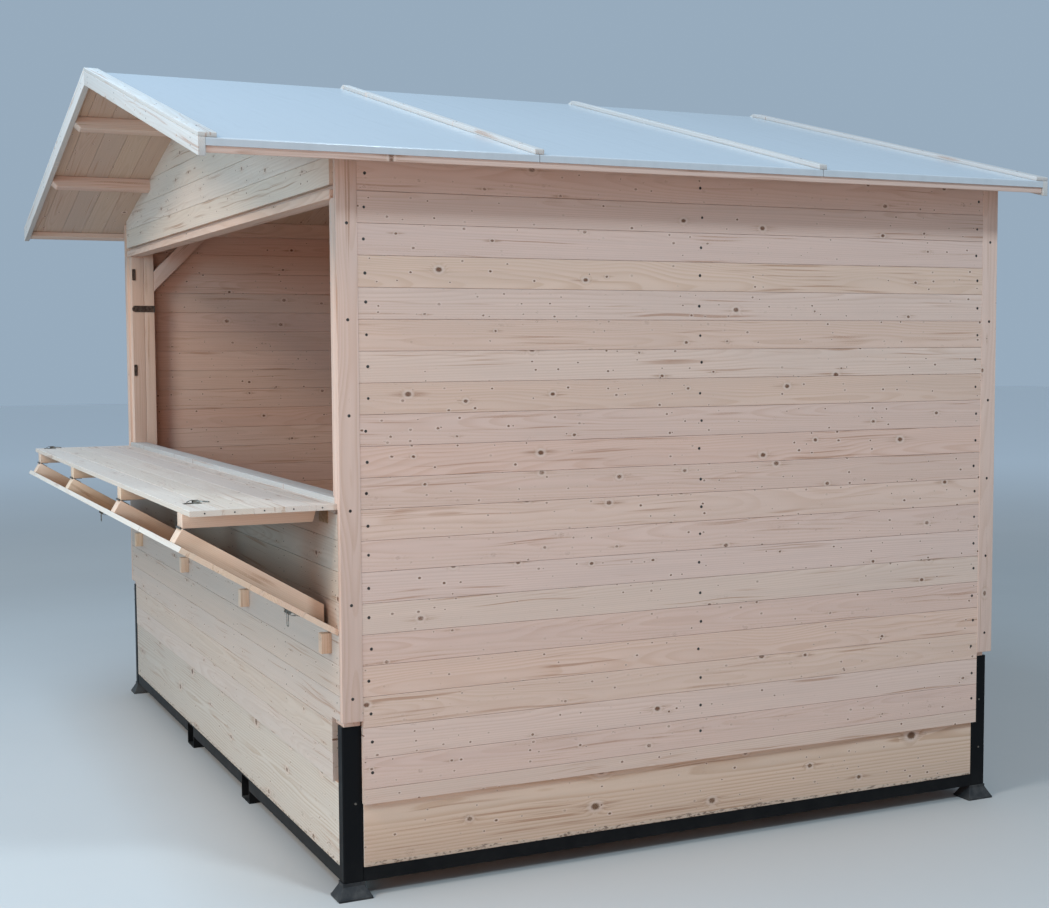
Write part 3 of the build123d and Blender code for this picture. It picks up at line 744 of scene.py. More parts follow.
def clean_copy(node: Object) -> Mesh:
    """Copies a node's mesh with its corners merged and its flat faces whole.

    Args:
        node: the frame's object.

    Returns:
        The new mesh.
    """
    same_place, same_plane = 0.01 * MM, math.radians(0.6)
    work = bmesh.new()
    work.from_mesh(node.data)
    bmesh.ops.remove_doubles(work, verts=work.verts, dist=same_place)
    bmesh.ops.dissolve_limit(work, angle_limit=same_plane, verts=work.verts, edges=work.edges)
    bmesh.ops.recalc_face_normals(work, faces=work.faces)
    mesh = released(work, node.name + "_copy")
    for layer in list(mesh.uv_layers):
        mesh.uv_layers.remove(layer)
    return mesh


def dress(mesh: Mesh, finish: Material, other: Material | None = None, way: Vector = Y_AXIS) -> None:
    """Gives a mesh its finish.

    Args:
        mesh: the mesh.
        finish: its finish.
        other: the finish of the faces that look along or against a direction, where it differs.
        way: that direction.
    """
    mesh.materials.clear()
    mesh.materials.append(finish)
    mesh.polygons.foreach_set("material_index", [0] * len(mesh.polygons))
    if other:
        mesh.materials.append(other)
        for face in mesh.polygons:
            face.material_index = int(abs(face.normal.dot(way)) > 0.5)


def broad_way(node: Object) -> Vector:
    """Finds the way that a slab's broad side faces.

    Args:
        node: the slab.

    Returns:
        The unit normal of its broad side, upwards.
    """
    areas = defaultdict(float)
    for face in node.data.polygons:
        way = face.normal.copy()
        if way.z < 0:
            way.negate()
        areas[tuple(round(part, 3) for part in way)] += face.area
    return Vector(max(areas, key=areas.get)).normalized()


def islands(mesh: Mesh) -> list:
    """Finds the separate solids of a mesh.

    Args:
        mesh: the mesh.

    Returns:
        For each solid, the list of its faces.
    """
    leader = list(range(len(mesh.vertices)))

    def find(index: int) -> int:
        """Gives the corner that stands for a corner's solid, with a shorter way to it.

        Args:
            index: the corner.

        Returns:
            The corner that stands for its solid.
        """
        while leader[index] != index:
            leader[index] = leader[leader[index]]
            index = leader[index]
        return index

    for edge in mesh.edges:
        first, second = (find(index) for index in edge.vertices)
        leader[first] = second
    groups = defaultdict(list)
    for face in mesh.polygons:
        groups[find(face.vertices[0])].append(face)
    return list(groups.values())


def main_way(shares: Sequence[tuple]) -> Vector | None:
    """Finds the direction that has the most, counting opposite ones as one.

    Args:
        shares: pairs of a unit direction and its share.

    Returns:
        The direction, or None where there are no shares.
    """
    totals = defaultdict(float)
    for way, share in shares:
        turned = -way if max(way, key=abs) < 0 else way
        totals[tuple(round(part, 2) for part in turned)] += share
    return Vector(max(totals, key=totals.get)).normalized() if totals else None


def grain_axes(mesh: Mesh, faces: Sequence) -> tuple:
    """Finds how one wooden piece lies: its grain runs along most of its edges.

    Args:
        mesh: the mesh.
        faces: the piece's faces.

    Returns:
        The directions along the grain, across the face, and out of the widest face.
    """
    runs = []
    for face in faces:
        corners = [mesh.vertices[index].co for index in face.vertices]
        runs += [end - start for start, end in zip(corners, corners[1:] + corners[:1])]
    along = main_way([(run.normalized(), run.length) for run in runs if run.length >= 1e-6])
    flats = [(face.normal - along * face.normal.dot(along), face.area) for face in faces]
    out = main_way([(flat.normalized(), area) for flat, area in flats if flat.length > 0.9])
    out = out or along.orthogonal().normalized()
    return along, out.cross(along).normalized(), out


def mark_pieces(mesh: Mesh, seed: int) -> int:
    """Writes each wooden piece's own frame and random number into the mesh.

    Args:
        mesh: the mesh.
        seed: the seed of the random numbers.

    Returns:
        How many pieces the mesh has.
    """
    chance = np.random.default_rng(seed)
    sawn = np.zeros((len(mesh.vertices), 3), dtype=np.float32)
    number = np.zeros(len(mesh.vertices), dtype=np.float32)
    pieces = islands(mesh)
    for faces in pieces:
        axes = Matrix(grain_axes(mesh, faces))
        indices = sorted({index for face in faces for index in face.vertices})
        middle = sum((mesh.vertices[index].co for index in indices), Vector()) / len(indices)
        own = chance.random()
        for index in indices:
            sawn[index] = axes @ (mesh.vertices[index].co - middle)
            number[index] = own
    mesh.attributes.new("sawn", "FLOAT_VECTOR", "POINT").data.foreach_set("vector", sawn.ravel())
    mesh.attributes.new("piece", "FLOAT", "POINT").data.foreach_set("value", number)
    return len(pieces)


def board_repeater() -> GeometryNodeTree:
    """Makes the Geometry Nodes group that lays one board again and again beside itself.

    Returns:
        The group, with inputs Board, Count, Cover, Play, Seed and Finish.
    """
    sheet = GroupSheet("board_repeater", "Board", Count="Int", Cover="Float", Play="Vector", Seed="Int")
    given = sheet.given
    step = sheet.join(0.0, given["Cover"], 0.0)
    line = sheet.fill(sheet.node("GeometryNodeMeshLine"), Count=given["Count"], Offset=step)
    place = sheet.node("GeometryNodeInstanceOnPoints", line.outputs[0])
    sheet.fill(place, Instance=given["Board"])
    back = sheet.fill(sheet.node("ShaderNodeVectorMath", given["Play"], operation="SCALE"), Scale=-1.0)
    random = sheet.node("FunctionNodeRandomValue", data_type="FLOAT_VECTOR")
    sheet.fill(random, Min=back.outputs[0], Max=given["Play"], Seed=given["Seed"])
    shift = sheet.node("GeometryNodeTranslateInstances", place.outputs[0])
    sheet.fill(shift, Translation=random.outputs["Value"])
    return sheet.close(shift.outputs[0])


def head_scatter() -> GeometryNodeTree:
    """Makes the Geometry Nodes group that sets a screw head on each point, facing the point's "facing".

    Returns:
        The group, with inputs Places, Radius, Rise and Finish.
    """
    sheet = GroupSheet("head_scatter", "Places", Radius="Float", Rise="Float")
    given = sheet.given
    head = sheet.fill(sheet.node("GeometryNodeMeshCone"), Vertices=HEAD_SIDES, Depth=given["Rise"])
    top = sheet.math("MULTIPLY", given["Radius"], HEAD_TAPER)
    sheet.fill(head, Radius_Top=top, Radius_Bottom=given["Radius"])
    facing = sheet.node("GeometryNodeInputNamedAttribute", "facing", data_type="FLOAT_VECTOR")
    turn = sheet.node("FunctionNodeAlignRotationToVector", axis="Z")
    sheet.fill(turn, Vector=facing.outputs["Attribute"])
    place = sheet.node("GeometryNodeInstanceOnPoints", given["Places"])
    sheet.fill(place, Instance=head.outputs["Mesh"], Rotation=turn.outputs[0])
    return sheet.close(place.outputs[0])


def run_group(source: Object, group: GeometryNodeTree, **values: object) -> Mesh:
    """Runs a Geometry Nodes group on an object and takes the result.

    Args:
        source: the object that the group starts from.
        group: the group.
        values: its inputs by name.

    Returns:
        The resulting mesh.
    """
    modifier = source.modifiers.new("layout", "NODES")
    modifier.node_group = group
    sockets = {item.name: item.identifier for item in group.interface.items_tree if item.in_out == "INPUT"}
    for name, value in values.items():
        modifier[sockets[name]] = value
    mesh = evaluated_mesh(source)
    source.modifiers.remove(modifier)
    return mesh


@dataclass
class BoardPanel:
    """A wall, slope or leaf made of tongued boards, in place of one slab of the frame.

    The boards run along one direction and stack in another, in which one of their joints has its
    place, measured from the origin. They run past the slab by the spare length until they are
    trimmed by a copy of it that stands off their faces by the margin.
    """

    node: str
    along: Vector
    stack: Vector
    joint: float
    seed: int
    slab: Object
    finish: Material
    end_finish: Material | None = None
    cover: float = BOARD_COVER
    spare: float = 20 * MM
    margin: float = 5 * MM
    out: Vector = field(init=False)
    low: Vector = field(init=False)
    high: Vector = field(init=False)

    def __post_init__(self) -> None:
        """Measures the slab along, across and out of its boards."""
        self.out = self.along.cross(self.stack)
        corners = np.array([corner.co for corner in self.slab.data.vertices])
        turned = np.array([self.along, self.stack, self.out]) @ corners.T
        self.low, self.high = Vector(turned.min(axis=1)), Vector(turned.max(axis=1))

    def profile(self, width: float, thick: float) -> list:
        """Gives a board's section, with a tongue that closes the gap to the next board.

        Args:
            width: the board's face.
            thick: its thickness.

        Returns:
            The section's points, in the stack direction and outwards.
        """
        half, tongue = thick / 2, thick / 6
        reach = width + BOARD_GAP * TONGUE_SHARE
        corners = ((width, -half, 270), (width, half, 0), (0, half, 90), (0, -half, 180))
        points = []
        for corner_x, corner_y, start in corners:
            centre_x = corner_x - math.copysign(BOARD_ROUND, corner_x - width / 2)
            centre_y = corner_y - math.copysign(BOARD_ROUND, corner_y)
            for angle in (math.radians(start + turn) for turn in (0, 45, 90)):
                x, y = centre_x + BOARD_ROUND * math.cos(angle), centre_y + BOARD_ROUND * math.sin(angle)
                points.append((x, y))
            if (corner_x, corner_y) == (width, -half):
                points += [(width, -tongue), (reach, -tongue), (reach, tongue), (width, tongue)]
        return points

    def one_board(self, length: float, width: float, thick: float) -> Object:
        """Makes the board that is laid again and again.

        Args:
            length: the board's length.
            width: its face.
            thick: its thickness.

        Returns:
            The board, along X, with its faces towards plus and minus Z.
        """
        work = bmesh.new()
        section = self.profile(width, thick)
        start, end = ([work.verts.new((place, x, y)) for x, y in section] for place in (0, length))
        work.faces.new(reversed(start))
        work.faces.new(end)
        for index, corner in enumerate(start):
            after = (index + 1) % len(section)
            work.faces.new((corner, start[after], end[after], end[index]))
        bmesh.ops.recalc_face_normals(work, faces=work.faces)
        return new_object(self.node + "_board", released(work, self.node + "_board"))

    def cutter(self) -> Object:
        """Makes the slab that trims the boards, thickened so that it cuts only at its outline.

        Returns:
            The cutter.
        """
        mesh = clean_copy(self.slab)
        middle = (self.low.z + self.high.z) / 2
        for corner in mesh.vertices:
            corner.co += self.out * math.copysign(self.margin, corner.co.dot(self.out) - middle)
        return new_object(self.node + "_cutter", mesh)

    def build(self, repeater: GeometryNodeTree) -> None:
        """Lays the boards and trims them to the slab's outline.

        Args:
            repeater: the board repeating group.
        """
        length = self.high.x - self.low.x + 2 * self.spare
        thick = self.high.z - self.low.z - 2 * BOARD_PLAY
        first = math.floor((self.low.y - self.joint) / self.cover)
        count = math.ceil((self.high.y - self.joint) / self.cover) - first
        board = self.one_board(length, self.cover - BOARD_GAP, thick)
        play = Vector((self.spare / 2, 0, BOARD_PLAY))
        laid = run_group(
            board, repeater, Count=count, Cover=self.cover, Play=play, Seed=self.seed, Finish=self.finish
        )
        foot = self.joint + first * self.cover + BOARD_GAP / 2
        corner = Vector((self.low.x - self.spare, foot, (self.low.z + self.high.z) / 2))
        turn = Matrix((self.along, self.stack, self.out)).transposed().to_4x4()
        laid.transform(turn @ Matrix.Translation(corner))
        boards, cutter = new_object(self.node + "_boards", laid), self.cutter()
        trim = boards.modifiers.new("trim", "BOOLEAN")
        trim.operation, trim.solver, trim.object = "INTERSECT", "EXACT", cutter
        mesh = evaluated_mesh(boards)
        discard(board, boards, cutter)
        dress(mesh, self.finish, self.end_finish, self.along)
        add_piece(self.node + "_boarding", mesh, mark_pieces(mesh, self.seed), self.node)


@dataclass
class EasedTimbers:
    """Solid timbers of the frame, with their corners eased as planed wood has them.

    The lit front finish, a paler copy of the wood as painted light, is for faces that look to the front or
    the rear, and corners are eased where the faces meet at more than the sharp angle, in degrees.
    """

    node: str
    source: Object
    finish: Material
    seed: int
    easing: float
    slot: str = "frame_timber"
    lit_front_finish: Material | None = None
    sharp: float = 35.0

    def build(self) -> None:
        """Copies the node, eases its corners and dresses it."""
        rough = new_object(self.node + "_rough", clean_copy(self.source))
        rough.data.polygons.foreach_set("use_smooth", [True] * len(rough.data.polygons))
        ease = rough.modifiers.new("ease", "BEVEL")
        ease.width, ease.segments, ease.limit_method = self.easing, 2, "ANGLE"
        ease.angle_limit = math.radians(self.sharp)
        ease.harden_normals = True
        mesh = evaluated_mesh(rough)
        discard(rough)
        dress(mesh, self.finish, self.lit_front_finish)
        add_piece(self.node + "_eased", mesh, mark_pieces(mesh, self.seed), self.node)


@dataclass
class Fixings:
    """The heads of one kind of screw, nail or bolt, each of which stands out of its face by the rise."""

    name: str
    radius: float
    rise: float
    finish: Material
    places: list = field(default_factory=list)
    facings: list = field(default_factory=list)

    def add(self, place: Sequence[float], facing: Vector) -> None:
        """Adds one head at a point on a face that looks along a direction."""
        self.places.append(tuple(place))
        self.facings.append(facing)

    def build(self, scatter: GeometryNodeTree) -> None:
        """Sets the heads on their places.

        Args:
            scatter: the group that sets a head on each point.
        """
        mesh = bpy.data.meshes.new(self.name + "_places")
        mesh.from_pydata(self.places, [], [])
        facing = mesh.attributes.new("facing", "FLOAT_VECTOR", "POINT")
        facing.data.foreach_set("vector", [part for way in self.facings for part in way])
        points = new_object(self.name + "_places", mesh)
        heads = run_group(points, scatter, Radius=self.radius, Rise=self.rise, Finish=self.finish)
        discard(points)
        add_piece(self.name, heads, len(self.places))


@dataclass
class ToggleLatches:
    """The toggle latches, each a plate with ears, a bent lever, a pin, rivets and a wire bail.

    A latch is made lying flat, with its length along Y, and then turned onto its leaf. Under is the
    way that the flap's lower face looks. Plate, ear and lever are sizes across, along and up. The
    pin's place is along the plate and above the leaf. Pin, rivet and wire are radii. The bail has
    half its width, its length and its corners' radius, and lies another way on the counter.
    """

    source: Object
    under: Vector
    finish: Material
    plate: tuple = (22 * MM, 50 * MM, 1.6 * MM)
    ear: tuple = (1.2 * MM, 18 * MM, 8 * MM)
    lever: tuple = (11 * MM, 32 * MM, 1.4 * MM)
    lever_rise: float = 5.5 * MM
    lever_gap: float = 1.5 * MM
    pin_place: tuple = (9 * MM, 6.5 * MM)
    pin: float = 1.6 * MM
    rivet: float = 3 * MM
    rivet_place: float = 20.5 * MM
    wire: float = 1.4 * MM
    bail: tuple = (8.2 * MM, 38 * MM, 5 * MM)
    lying: tuple = (0, 0.997, -0.08)

    def build(self) -> None:
        """Makes every latch where the frame has one."""
        total = bmesh.new()
        places = clean_copy(self.source)
        found = islands(places)
        half = self.plate[1] / 2
        for faces in found:
            corners = [places.vertices[index].co for face in faces for index in face.vertices]
            hanging = corners[0].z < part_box("flap_boards")[1][2]
            out = self.under if hanging else Z_AXIS
            forward = out.cross(X_AXIS)
            reach = [corner.dot(forward) for corner in corners]
            middle = max(reach) - half if hanging else min(reach) + half
            across = (min(corner.x for corner in corners) + max(corner.x for corner in corners)) / 2
            seat = min(corner.dot(out) for corner in corners)
            turn = Matrix((X_AXIS, forward, out)).transposed().to_4x4()
            turn.translation = X_AXIS * across + forward * middle + out * seat
            drop = turn.to_3x3().inverted() @ -Z_AXIS if hanging else Vector(self.lying)
            one = self.one_latch(drop)
            one.transform(turn)
            total.from_mesh(one)
            bpy.data.meshes.remove(one)
        bpy.data.meshes.remove(places)
        bmesh.ops.recalc_face_normals(total, faces=total.faces)
        mesh = released(total, "toggle_latches_wired")
        mesh.materials.append(self.finish)
        add_piece("toggle_latches_wired", mesh, len(found), "toggle_latches")

    def one_latch(self, drop: Vector) -> Mesh:
        """Makes one latch.

        Args:
            drop: the way that its bail lies.

        Returns:
            Its mesh.
        """
        work = bmesh.new()
        floor = self.plate[2]
        self.block(work, self.plate, (0, 0, floor / 2), 0.5 * MM)
        pin_along, pin_up = self.pin_place
        for side in (-1, 1):
            centre = (side * self.lever[0] * 0.6, pin_along, floor + self.ear[2] / 2)
            self.block(work, self.ear, centre, 0.4 * MM)
            seat = Matrix.Translation((0, side * self.rivet_place, floor)) @ Matrix.Diagonal((1, 1, 0.5, 1))
            bmesh.ops.create_uvsphere(work, u_segments=12, v_segments=6, radius=self.rivet, matrix=seat)
        self.bent_lever(work)
        lay = Matrix.Translation((0, pin_along, pin_up)) @ Matrix.Rotation(math.pi / 2, 4, "Y")
        long = 2 * self.bail[0] + 2 * self.wire
        bmesh.ops.create_cone(
            work, cap_ends=True, segments=12, radius1=self.pin, radius2=self.pin, depth=long, matrix=lay
        )
        wire = self.wire_bail(drop)
        work.from_mesh(wire)
        bpy.data.meshes.remove(wire)
        return released(work, "one_latch")

    def block(self, work: BMesh, size: Sequence[float], centre: Sequence[float], easing: float) -> None:
        """Adds a plate with eased edges.

        Args:
            work: the mesh under construction.
            size: the plate's sizes.
            centre: its middle.
            easing: the width of its eased edges.
        """
        place = Matrix.Translation(centre) @ Matrix.Diagonal((*size, 1))
        corners = bmesh.ops.create_cube(work, size=1, matrix=place)["verts"]
        edges = list(dict.fromkeys(edge for corner in corners for edge in corner.link_edges))
        bmesh.ops.bevel(work, geom=edges, offset=easing, segments=2, affect="EDGES")

    def bent_lever(self, work: BMesh) -> None:
        """Adds the arched lever, which narrows towards its tip.

        Args:
            work: the mesh under construction.
        """
        wide, long, thick = self.lever
        steps = 10
        rows = []
        for share in (step / steps for step in range(steps + 1)):
            up = self.plate[2] + self.lever_gap + self.lever_rise * math.sin(math.pi * share)
            half = wide / 2 * (1 - 0.25 * share)
            section = ((-half, up), (half, up), (half, up + thick), (-half, up + thick))
            rows.append([work.verts.new((x, (share - 0.5) * long, z)) for x, z in section])
        for first, second in zip(rows, rows[1:]):
            for index in range(4):
                after = (index + 1) % 4
                work.faces.new((first[index], first[after], second[after], second[index]))
        work.faces.new(rows[0][::-1])
        work.faces.new(rows[-1])

    def wire_bail(self, drop: Vector) -> Mesh:
        """Bends the round wire of the bail.

        Args:
            drop: the way that the bail lies.

        Returns:
            The wire's mesh.
        """
        half, long, turn = self.bail
        start = Vector((0, *self.pin_place))
        path = [start - X_AXIS * half]
        for side, angles in ((-1, (0, 30, 60, 90)), (1, (90, 60, 30, 0))):
            for angle in (math.radians(value) for value in angles):
                across = side * (half - turn + turn * math.cos(angle))
                path.append(start + X_AXIS * across + drop * (long - turn + turn * math.sin(angle)))
        path.append(start + X_AXIS * half)
        curve = bpy.data.curves.new("bail", "CURVE")
        curve.dimensions, curve.bevel_depth, curve.bevel_resolution = "3D", self.wire, 2
        curve.use_fill_caps = True
        line = curve.splines.new("POLY")
        line.points.add(len(path) - 1)
        for point, place in zip(line.points, path):
            point.co = (*place, 1)
        holder = bpy.data.objects.new("bail", curve)
        bpy.context.scene.collection.objects.link(holder)
        mesh = evaluated_mesh(holder)
        bpy.data.objects.remove(holder)
        bpy.data.curves.remove(curve)
        mesh.materials.clear()
        return mesh


@dataclass
class Fastening:
    """The screws, nails and bolts of the stall.

    The slope is the roof's fall for each metre out from the ridge. Screw, nail and bolt are a head's
    radius and rise. The plays say how far a head may sit from its row. The tube bolts have their
    setback from the outer side of the front and the rear tube, and their heights. The heads at the
    rear verge are sunk, to stay inside the frame's box.
    """

    nodes: dict
    slope: float
    dark: Material
    bronze: Material
    screw: tuple = (4.6 * MM, 0.5 * MM)
    nail: tuple = (2.4 * MM, 0.4 * MM)
    bolt: tuple = (3.6 * MM, 1.0 * MM)
    boards: int = 20
    edge: float = 22 * MM
    screw_play: float = 5 * MM
    nail_play: float = 6 * MM
    corner_board: float = 62 * MM
    corner_pitch: float = 264 * MM
    tube_bolts: tuple = ((38 * MM, (272 * MM,)), (26 * MM, (343 * MM, 177 * MM)))
    sunk: float = 0.35 * MM

    def __post_init__(self) -> None:
        """Starts the rows of heads and their chance."""
        self.chance = np.random.default_rng(FIXING_SEED)
        self.screws = Fixings("cladding_screws", *self.screw, self.dark)
        self.nails = Fixings("board_nails", *self.nail, self.dark)
        self.bolts = Fixings("tube_bolts", *self.bolt, self.bronze)

    def build(self) -> None:
        """Drives every fixing."""
        self.side_screws()
        self.corner_screws()
        self.wall_nails()
        self.leaf_nails()
        self.barge_nails()
        self.cap_nails()
        self.base_bolts()
        scatter = head_scatter()
        for row in (self.screws, self.nails, self.bolts):
            row.build(scatter)

    def side_screws(self) -> None:
        """Drives a screw in each board at both ends and at the middle stud, on both side walls."""
        low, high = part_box("right_wall")
        columns = (low[1] + self.edge, (low[1] + high[1]) / 2, high[1] - self.edge)
        for row in range(1, self.boards + 1):
            level = SIDE_JOINT - (row - 0.5) * BOARD_COVER
            for place in columns:
                shifts = self.chance.uniform(-self.screw_play, self.screw_play, (2, 2))
                for side, (aside, up) in zip((1, -1), shifts):
                    self.screws.add((side * (high[0] - BOARD_PLAY), place + aside, level + up), X_AXIS * side)

    def corner_screws(self) -> None:
        """Drives screws down the middle of each corner board."""
        low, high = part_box("corner_boards")
        first = low[2] + 0.25 * self.corner_pitch
        count = math.ceil((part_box("eave_rails")[0][2] - first) / self.corner_pitch)
        for level in (first + step * self.corner_pitch for step in range(count)):
            for place in (low[1] + self.corner_board / 2, high[1] - self.corner_board / 2):
                self.screws.add((high[0], place, level), X_AXIS)
                self.screws.add((low[0], place, level), -X_AXIS)

    def wall_nails(self) -> None:
        """Drives two nails in each board at each stud, on the front and rear walls and the front gable."""
        walls = (
            ("front_wall", -Y_AXIS, 0, FRONT_JOINT, (-1470, -960, -320, 320, 960, 1470)),
            ("rear_wall", Y_AXIS, 1, SIDE_JOINT, (-1470, -960, -450, 450, 960, 1470)),
            ("front_gable", -Y_AXIS, 0, GABLE_JOINT, (-1200, -600, 0, 600, 1200)),
        )
        for node, facing, end, joint, places in walls:
            low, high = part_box(node)
            face = (low, high)[end][1] - math.copysign(BOARD_PLAY, facing.y)
            first = math.ceil((low[2] - joint) / BOARD_COVER)
            last = math.floor((high[2] - joint) / BOARD_COVER)
            for row in range(first, last):
                for place in (place * MM for place in places):
                    for level in (joint + (row + share) * BOARD_COVER for share in (0.25, 0.75)):
                        aside, up = self.chance.uniform(-self.nail_play, self.nail_play, 2)
                        roofed = (high[2] - level - 40 * MM) / self.slope
                        if node != "front_gable" or abs(place) <= roofed:
                            self.nails.add((place + aside, face, level + up), facing)

    def leaf_nails(self) -> None:
        """Drives nails in the ends of the counter's boards."""
        low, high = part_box("counter_boards")
        level = (low[2] + high[2]) / 2
        for step in range(5):
            place = low[1] + (step + 0.5) * (high[1] - low[1]) / 5
            self.nails.add((high[0], place, level), X_AXIS)
            self.nails.add((low[0], place, level), -X_AXIS)

    def barge_nails(self) -> None:
        """Drives pairs of nails in the barge boards at the purlins."""
        low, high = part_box("barge_boards")
        tall = high[2] - low[2] - high[0] * self.slope
        for place in (share * high[0] for share in (0.04, 0.33, 0.62, 0.95)):
            for side in (-1, 1):
                for part in (0.3, 0.7):
                    level = high[2] - place * self.slope - part * tall
                    self.nails.add((side * place, low[1], level), -Y_AXIS)
                    self.nails.add((side * place, high[1] - self.sunk, level), Y_AXIS)

    def cap_nails(self) -> None:
        """Drives nails down the middle of each verge cap and seam batten."""
        for node in ("verge_caps", "seam_battens"):
            work = clean_copy(self.nodes[node])
            for faces in islands(work):
                corners = [work.vertices[index].co for face in faces for index in face.vertices]
                middle = (min(c.y for c in corners) + max(c.y for c in corners)) / 2
                side = 1 if max(c.x for c in corners) > 0.5 else -1
                reach = max(abs(c.x) for c in corners)
                crest = max(c.z + abs(c.x) * self.slope for c in corners)
                way = Vector((side * self.slope, 0, 1)).normalized()
                for place in (share * reach for share in (0.08, 0.36, 0.64, 0.93)):
                    self.nails.add((side * place, middle, crest - place * self.slope), way)
            bpy.data.meshes.remove(work)

    def base_bolts(self) -> None:
        """Drives bolts through the sides of the corner tubes."""
        low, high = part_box("corner_tubes")
        (front, front_levels), (rear, rear_levels) = self.tube_bolts
        for place, levels in ((low[1] + front, front_levels), (high[1] - rear, rear_levels)):
            for level in levels:
                self.bolts.add((high[0], place, level), X_AXIS)
                self.bolts.add((low[0], place, level), -X_AXIS)


class Stall:
    """The whole stall, dressed part by part from the frame's nodes."""

    def __init__(self, nodes: dict) -> None:
        """Takes the frame's nodes and makes the finishes."""
        self.nodes = nodes
        self.finishes = Finishes()

    def panels(self) -> None:
        """Lays the boards of walls, gables, roof, floor, door and leaves."""
        finishes = self.finishes
        roof_right, roof_left, flap = (
            broad_way(self.nodes[name]) for name in ("right_roof_boards", "left_roof_boards", "flap_boards")
        )
        layouts = (
            ("right_wall", Y_AXIS, Z_AXIS, SIDE_JOINT),
            ("left_wall", -Y_AXIS, Z_AXIS, SIDE_JOINT),
            ("front_wall", X_AXIS, Z_AXIS, FRONT_JOINT),
            ("rear_wall", -X_AXIS, Z_AXIS, SIDE_JOINT),
            ("rear_door", Z_AXIS, X_AXIS, 0.0),
            ("front_gable", X_AXIS, Z_AXIS, GABLE_JOINT),
            ("rear_gable", -X_AXIS, Z_AXIS, GABLE_JOINT),
            ("floor_deck", X_AXIS, Y_AXIS, 0.0),
            ("right_roof_boards", Y_AXIS.cross(roof_right), Y_AXIS, 0.0),
            ("left_roof_boards", -Y_AXIS.cross(roof_left), -Y_AXIS, 0.0),
            ("counter_boards", X_AXIS, Y_AXIS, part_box("counter_boards")[0][1]),
            ("flap_boards", X_AXIS, X_AXIS.cross(flap), FLAP_JOINT),
        )
        special = {
            # Counter, flap faces and front gable take the paler wood that paints their bright light
            "counter_boards": (finishes.leaf,),
            # The flap's board ends take the rib wood as painted shade
            "flap_boards": (finishes.leaf, finishes.ribs),
            "front_gable": (finishes.leaf,),
            # The front wall takes the cooler wood that paints the light from the front
            "front_wall": (finishes.front,),
            # The roof boards take the darker wood that paints their shade
            "right_roof_boards": (finishes.roof,),
            "left_roof_boards": (finishes.roof,),
        }
        repeater = board_repeater()
        for seed, (node, along, stack, joint) in enumerate(layouts, start=PANEL_SEED):
            woods = special.get(node, (finishes.boards,))
            BoardPanel(node, along, stack, joint, seed, self.nodes[node], *woods).build(repeater)

    def timbers(self) -> None:
        """Eases the corners of posts, rails, trims and ribs."""
        trim, barge = self.finishes.trim, self.finishes.barge
        broad, fine = 2.5 * MM, 1.5 * MM
        sets = (
            ("corner_posts wall_studs wall_plates wall_braces door_posts", trim, broad),
            ("purlins eave_rails ridge_beam wall_lintels", trim, broad),
            # The sill, barge boards, caps and battens take the pale wood that paints their bright light
            ("counter_sill", barge, broad),
            ("front_jambs corner_boards header_board post_feet", trim, fine),
            # Ribs and blocks take the warmer rib wood, partly painted warm shade
            ("support_blocks counter_ribs flap_ribs", self.finishes.ribs, fine),
            ("barge_boards verge_caps seam_battens", barge, fine),
        )
        rows = [(name, wood, easing) for names, wood, easing in sets for name in names.split()]
        # The base planks' front and rear faces take the paler copy that paints their light
        rows.append(("base_panels", self.finishes.plank, 2 * MM, "base_planks", self.finishes.lit_front_plank))
        for seed, (name, wood, *rest) in enumerate(rows, start=TIMBER_SEED):
            EasedTimbers(name, self.nodes[name], wood, seed, *rest).build()

    def metal(self) -> None:
        """Paints the base and finishes sheets and fittings on the frame's own nodes."""
        finishes = self.finishes
        coats = {
            finishes.paint: ("corner_tubes", "base_rails", "fork_pockets", "floor_bearers"),
            finishes.rubber: ("foot_pads",),
            finishes.sheet: ("right_roof_sheets", "left_roof_sheets"),
            finishes.zinc: ("door_fittings",),
            finishes.bronze: ("jamb_fittings", "flap_hinges"),
            finishes.yellow: ("counter_hinges",),
        }
        for coat, names in coats.items():
            for name in names:
                materials = self.nodes[name].data.materials
                for index in range(len(materials)):
                    materials[index] = coat
                log.info("%s: %s", name, coat.name)
        under = -broad_way(self.nodes["flap_boards"])
        ToggleLatches(self.nodes["toggle_latches"], under, finishes.latch).build()

    def fixings(self) -> None:
        """Drives the screws, nails and bolts."""
        roof = broad_way(self.nodes["right_roof_boards"])
        Fastening(self.nodes, roof.x / roof.z, self.finishes.dark, self.finishes.bronze).build()


@dataclass(frozen=True)
class SoftLight:
    """One soft box of the studio."""

    name: str
    place: tuple
    aim: tuple
    width: float
    height: float
    power: float
    colour: tuple

    def build(self) -> None:
        """Hangs the light."""
        lamp = bpy.data.lights.new(self.name, "AREA")
        lamp.shape, lamp.size, lamp.size_y = "RECTANGLE", self.width, self.height
        lamp.energy, lamp.color = self.power, self.colour
        item = bpy.data.objects.new(self.name, lamp)
        item.location = self.place
        way = Vector(self.aim) - Vector(self.place)
        item.rotation_euler = way.to_track_quat("-Z", "Y").to_euler()
        item.visible_camera = False
        bpy.context.scene.collection.objects.link(item)


